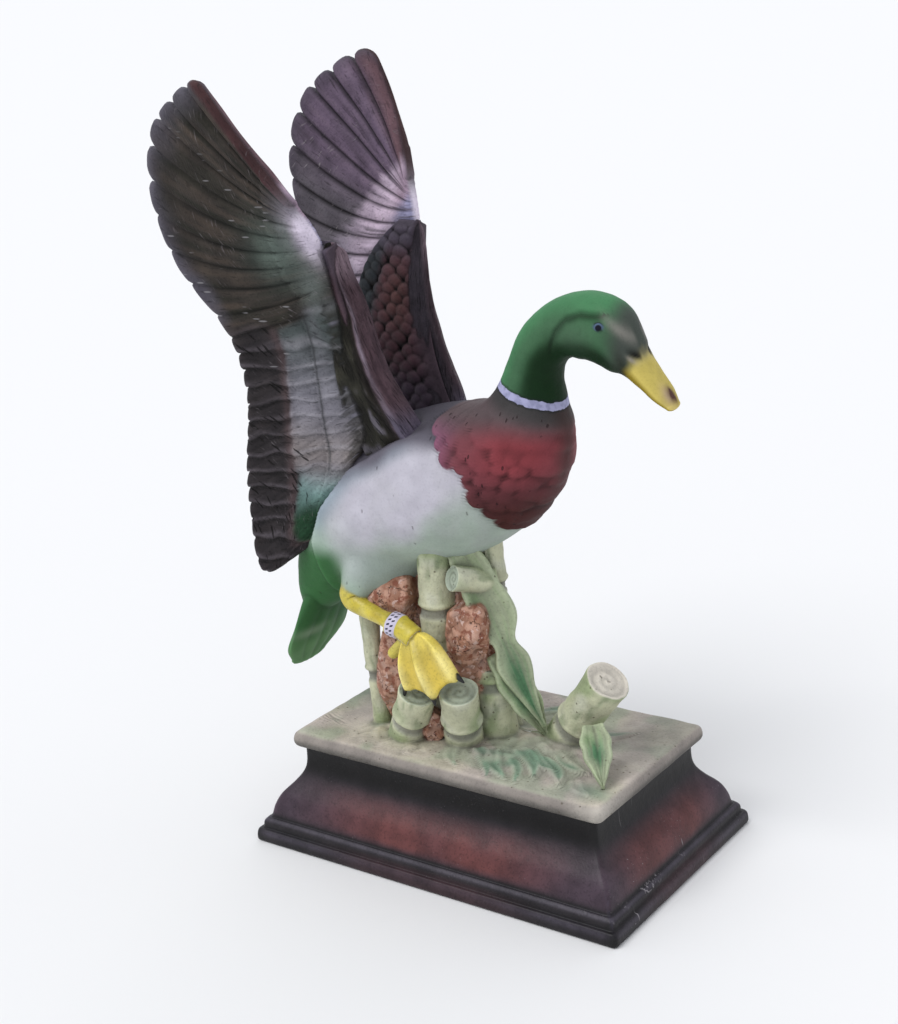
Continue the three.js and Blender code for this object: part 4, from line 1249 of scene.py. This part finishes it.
def cast(name, shapes, painted_shading, fillet=10, soft=None):
    """One object from overlapping closed forms. Soft is the number of a form that melts into the rest."""
    whole = stand(name, mesh_of(shapes[0], 0))
    helpers = []
    for number, shape in enumerate(shapes[1:], 1):
        helpers.append(stand(f"form_{number}", mesh_of(shape, number)))
        joined = whole.modifiers.new("join", "BOOLEAN")
        joined.operation, joined.solver, joined.material_mode = "UNION", "MANIFOLD", "TRANSFER"
        joined.object = helpers[-1]
    if helpers:
        graph = bpy.context.evaluated_depsgraph_get()
        mesh = bpy.data.meshes.new_from_object(whole.evaluated_get(graph))
        whole.modifiers.clear()
        whole.data = mesh
        for helper in helpers:
            bpy.data.objects.remove(helper)
    whole.data.name = name
    season(whole.data, len(shapes), painted_shading, fillet, soft)
    whole.data.shade_smooth()
    return whole


# How far filled marks, fillets, the painted shade of hollows and the soft joint reach, in steps from point to
# point.
FILL_STEPS, SEAM_STEPS, HOLLOW_STEPS, SOFT_STEPS, SOFT_EDGE_STEPS = 6, 5, 6, 9, 3
# Passes that draw points and paint towards their neighbours', and the share of the way in a pass.
SEAM_PAINT_PASSES, SEAM_PAINT, SOFT_PASSES, SOFT_PAINT, SMOOTH = 3, 0.5, 60, 0.25, 0.6
# The soft joint fades out at this height, so that the leg stays crisp.
SOFT_FOOT, SOFT_FADE = 101.0, 1.5
# How strongly fillets, the painted shade of hollows and the pale edges show, and marks that count as the
# same.
FILLET_GAIN, HOLLOW_GAIN, WIDE_GAIN, DARKEST, LIGHTEST, SAME = 1.3, 5, 9, 0.8, 0.5, 1e-4


def season(mesh, parts, painted_shading, fillet, soft):
    """Round the joints between forms, then paint shade into the hollows, and highlight and rubbed wear onto
    the edges.
    """
    count = len(mesh.vertices)

    def read(source, name, width):
        values = np.empty(len(source) * width, int if name == "vertices" else float)
        source.foreach_get(name, values)
        return values.reshape(-1, width) if width > 1 else values

    points = read(mesh.vertices, "co", 3) / MM
    a, b = read(mesh.edges, "vertices", 2).T
    linked = np.maximum(np.bincount(a, minlength=count) + np.bincount(b, minlength=count), 1)

    def around(values):
        columns = values.reshape(count, -1).T
        total = [np.bincount(a, column[b], count) + np.bincount(b, column[a], count) for column in columns]
        return (np.array(total) / linked).T.reshape(values.shape)

    def spread(values, steps):
        for _ in range(steps):
            values = around(values)
        return values

    part = read(mesh.attributes["part"].data, "value", 1)
    codes = np.array([part_code(number) for number in range(parts)])
    known = (np.abs(part[:, None] - codes[None]).min(1) < SAME).astype(float)
    seam = 1 - known
    nearest = np.where(known > 0, part, 0)
    apart = (known[a] * known[b] > 0) & (np.abs(nearest[a] - nearest[b]) > 0.01)
    seam[a[apart]] = 1
    seam[b[apart]] = 1
    paint = read(mesh.attributes["paint"].data, "color", 4)
    marks = np.stack([read(mesh.attributes[key].data, "value", 1) for key in MARKS], 1)
    fresh = known == 0
    for _ in range(FILL_STEPS):
        weight = around(known)
        filled = np.maximum(weight, 1e-6)[:, None]
        ready = (fresh & (weight > 0))[:, None]
        paint = np.where(ready, around(paint * known[:, None]) / filled, paint)
        marks = np.where(ready, around(marks * known[:, None]) / filled, marks)
        known = np.maximum(known, ready[:, 0])
    near = seam.copy()
    for _ in range(SEAM_STEPS):
        near = np.maximum(near, around(near))
    near = np.clip(near * FILLET_GAIN, 0, 1)[:, None]
    for _ in range(fillet):
        points += near * SMOOTH * (around(points) - points)
    if soft is not None:
        inside = (np.abs(part - part_code(soft)) < SAME).astype(float)
        for _ in range(SOFT_STEPS):
            inside = np.maximum(inside, (around(inside) > 0) * 1.0)
        inside *= ramp(points[:, 2], SOFT_FOOT - SOFT_FADE, SOFT_FOOT + SOFT_FADE)
        inside = spread(inside, SOFT_EDGE_STEPS)
        for _ in range(SOFT_PASSES):
            points += inside[:, None] * SMOOTH * (around(points) - points)
            paint += inside[:, None] * SOFT_PAINT * (around(paint) - paint)
    for _ in range(SEAM_PAINT_PASSES):
        paint += near * SEAM_PAINT * (around(paint) - paint)
    for key, values in zip(MARKS, marks.T):
        mesh.attributes[key].data.foreach_set("value", values.copy())
    mesh.vertices.foreach_set("co", (points * MM).ravel())
    mesh.update()
    # Painted shade darkens the hollows, and the edges are lightened for painted highlight and rubbed wear.
    normals = read(mesh.vertex_normals, "vector", 3)
    length = np.linalg.norm(points[a] - points[b], axis=1)
    span = (np.bincount(a, length, count) + np.bincount(b, length, count)) / linked
    hollow = np.einsum("ij,ij->i", normals, around(points) - points) / np.maximum(span, 0.25)
    hollow = around(hollow)
    wide = spread(hollow, HOLLOW_STEPS)
    depth = np.clip(hollow * HOLLOW_GAIN + wide * WIDE_GAIN, -1, 1)[:, None] * painted_shading
    colour = paint[:, :3]
    colour *= np.where(depth > 0, 1 - DARKEST * depth, 1)
    colour += np.where(depth < 0, -depth * LIGHTEST, 0) * (np.maximum(colour * 1.9, 0.03) - colour)
    mesh.attributes["paint"].data.foreach_set("color", np.clip(paint, 0.0015, 1).ravel())


def dress(piece, node):
    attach(piece, "root")
    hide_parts(node)


drake = cast("drake", [trunk(), tail(), thigh(), leg(), foot(), *toe_bits(), eye(1), eye(-1)], 0.55, soft=2)
near_wing = cast("near_wing", [wing(-1), forearm(-1), upper_coverts(-1)], 0.75, 8)
far_wing = cast("far_wing", [wing(1), forearm(1), upper_coverts(1)], 0.75, 8)
growth = [make(row, i) for make, rows in ((stalk, BAMBOO), (stone, STONES), (leaf, LEAVES))
          for i, row in enumerate(rows)]
ground = cast("ground", [slab(), *growth], 0.55)
plinth = cast("plinth_dressed", [plinth_form()], 0.6)
for piece in (drake, near_wing, far_wing, ground):
    dress(piece, "figurine")
dress(plinth, "plinth")

# Floor, light and camera.
FLOOR_HALF = 500
floor_mesh = bpy.data.meshes.new("floor")
floor_mesh.from_pydata([(x * FLOOR_HALF, y * FLOOR_HALF, 0) for x, y in CORNERS.tolist()], [], [(0, 1, 2, 3)])
floor = stand("floor", floor_mesh)
floor_material = bpy.data.materials.new("floor")
floor_material.use_nodes = True
floor_shader = floor_material.node_tree.nodes["Principled BSDF"]
floor_shader.inputs["Base Color"].default_value = (0.82, 0.82, 0.82, 1)
floor_shader.inputs["Roughness"].default_value = 0.9
floor_shader.inputs["Specular IOR Level"].default_value = 0.0
floor_mesh.materials.append(floor_material)

world = bpy.data.worlds.new("world")
bpy.context.scene.world = world
world.use_nodes = True
world.node_tree.nodes["Background"].inputs["Color"].default_value = (0.93, 0.95, 1.0, 1)
world.node_tree.nodes["Background"].inputs["Strength"].default_value = 0.8


def sun(name, place, angle, strength):
    data = bpy.data.lights.new(name, "SUN")
    data.angle, data.energy = math.radians(angle), strength
    stand(name, data).rotation_euler = Vector(place).to_track_quat("Z", "Y").to_euler()


sun("key", (-0.35, -0.68, 1.1), 30, 1.35)
sun("rim", (-0.6, 0.9, 0.9), 50, 0.35)

# The camera stands where the picture was taken from.
AZIMUTH, ELEVATION, ROLL = math.radians(36.14), math.radians(17.73), math.radians(-3.82)
CAMERA_PLACE = (334.86, -478.44, 315.01)
FOCAL_PIXELS, IMAGE_HEIGHT, SENSOR = 1713.98, 1024, 36
level = Vector((math.cos(AZIMUTH), math.sin(AZIMUTH), 0))
outward = Vector((math.sin(AZIMUTH), -math.cos(AZIMUTH), 0))
back = outward * math.cos(ELEVATION) + Vector((0, 0, math.sin(ELEVATION)))
upward = back.cross(level)
right = math.cos(ROLL) * level + math.sin(ROLL) * upward
upright = -math.sin(ROLL) * level + math.cos(ROLL) * upward
camera_data = bpy.data.cameras.new("camera")
camera_data.sensor_width = SENSOR
camera_data.lens = SENSOR * FOCAL_PIXELS / IMAGE_HEIGHT
camera_data.clip_start, camera_data.clip_end = 0.01, 1500
camera = stand("camera", camera_data)
turned = Matrix((right, upright, back)).transposed().to_4x4()
turned.translation = Vector(CAMERA_PLACE) * MM
camera.matrix_world = turned
bpy.context.scene.camera = camera
bpy.context.scene.view_settings.view_transform = "Standard"
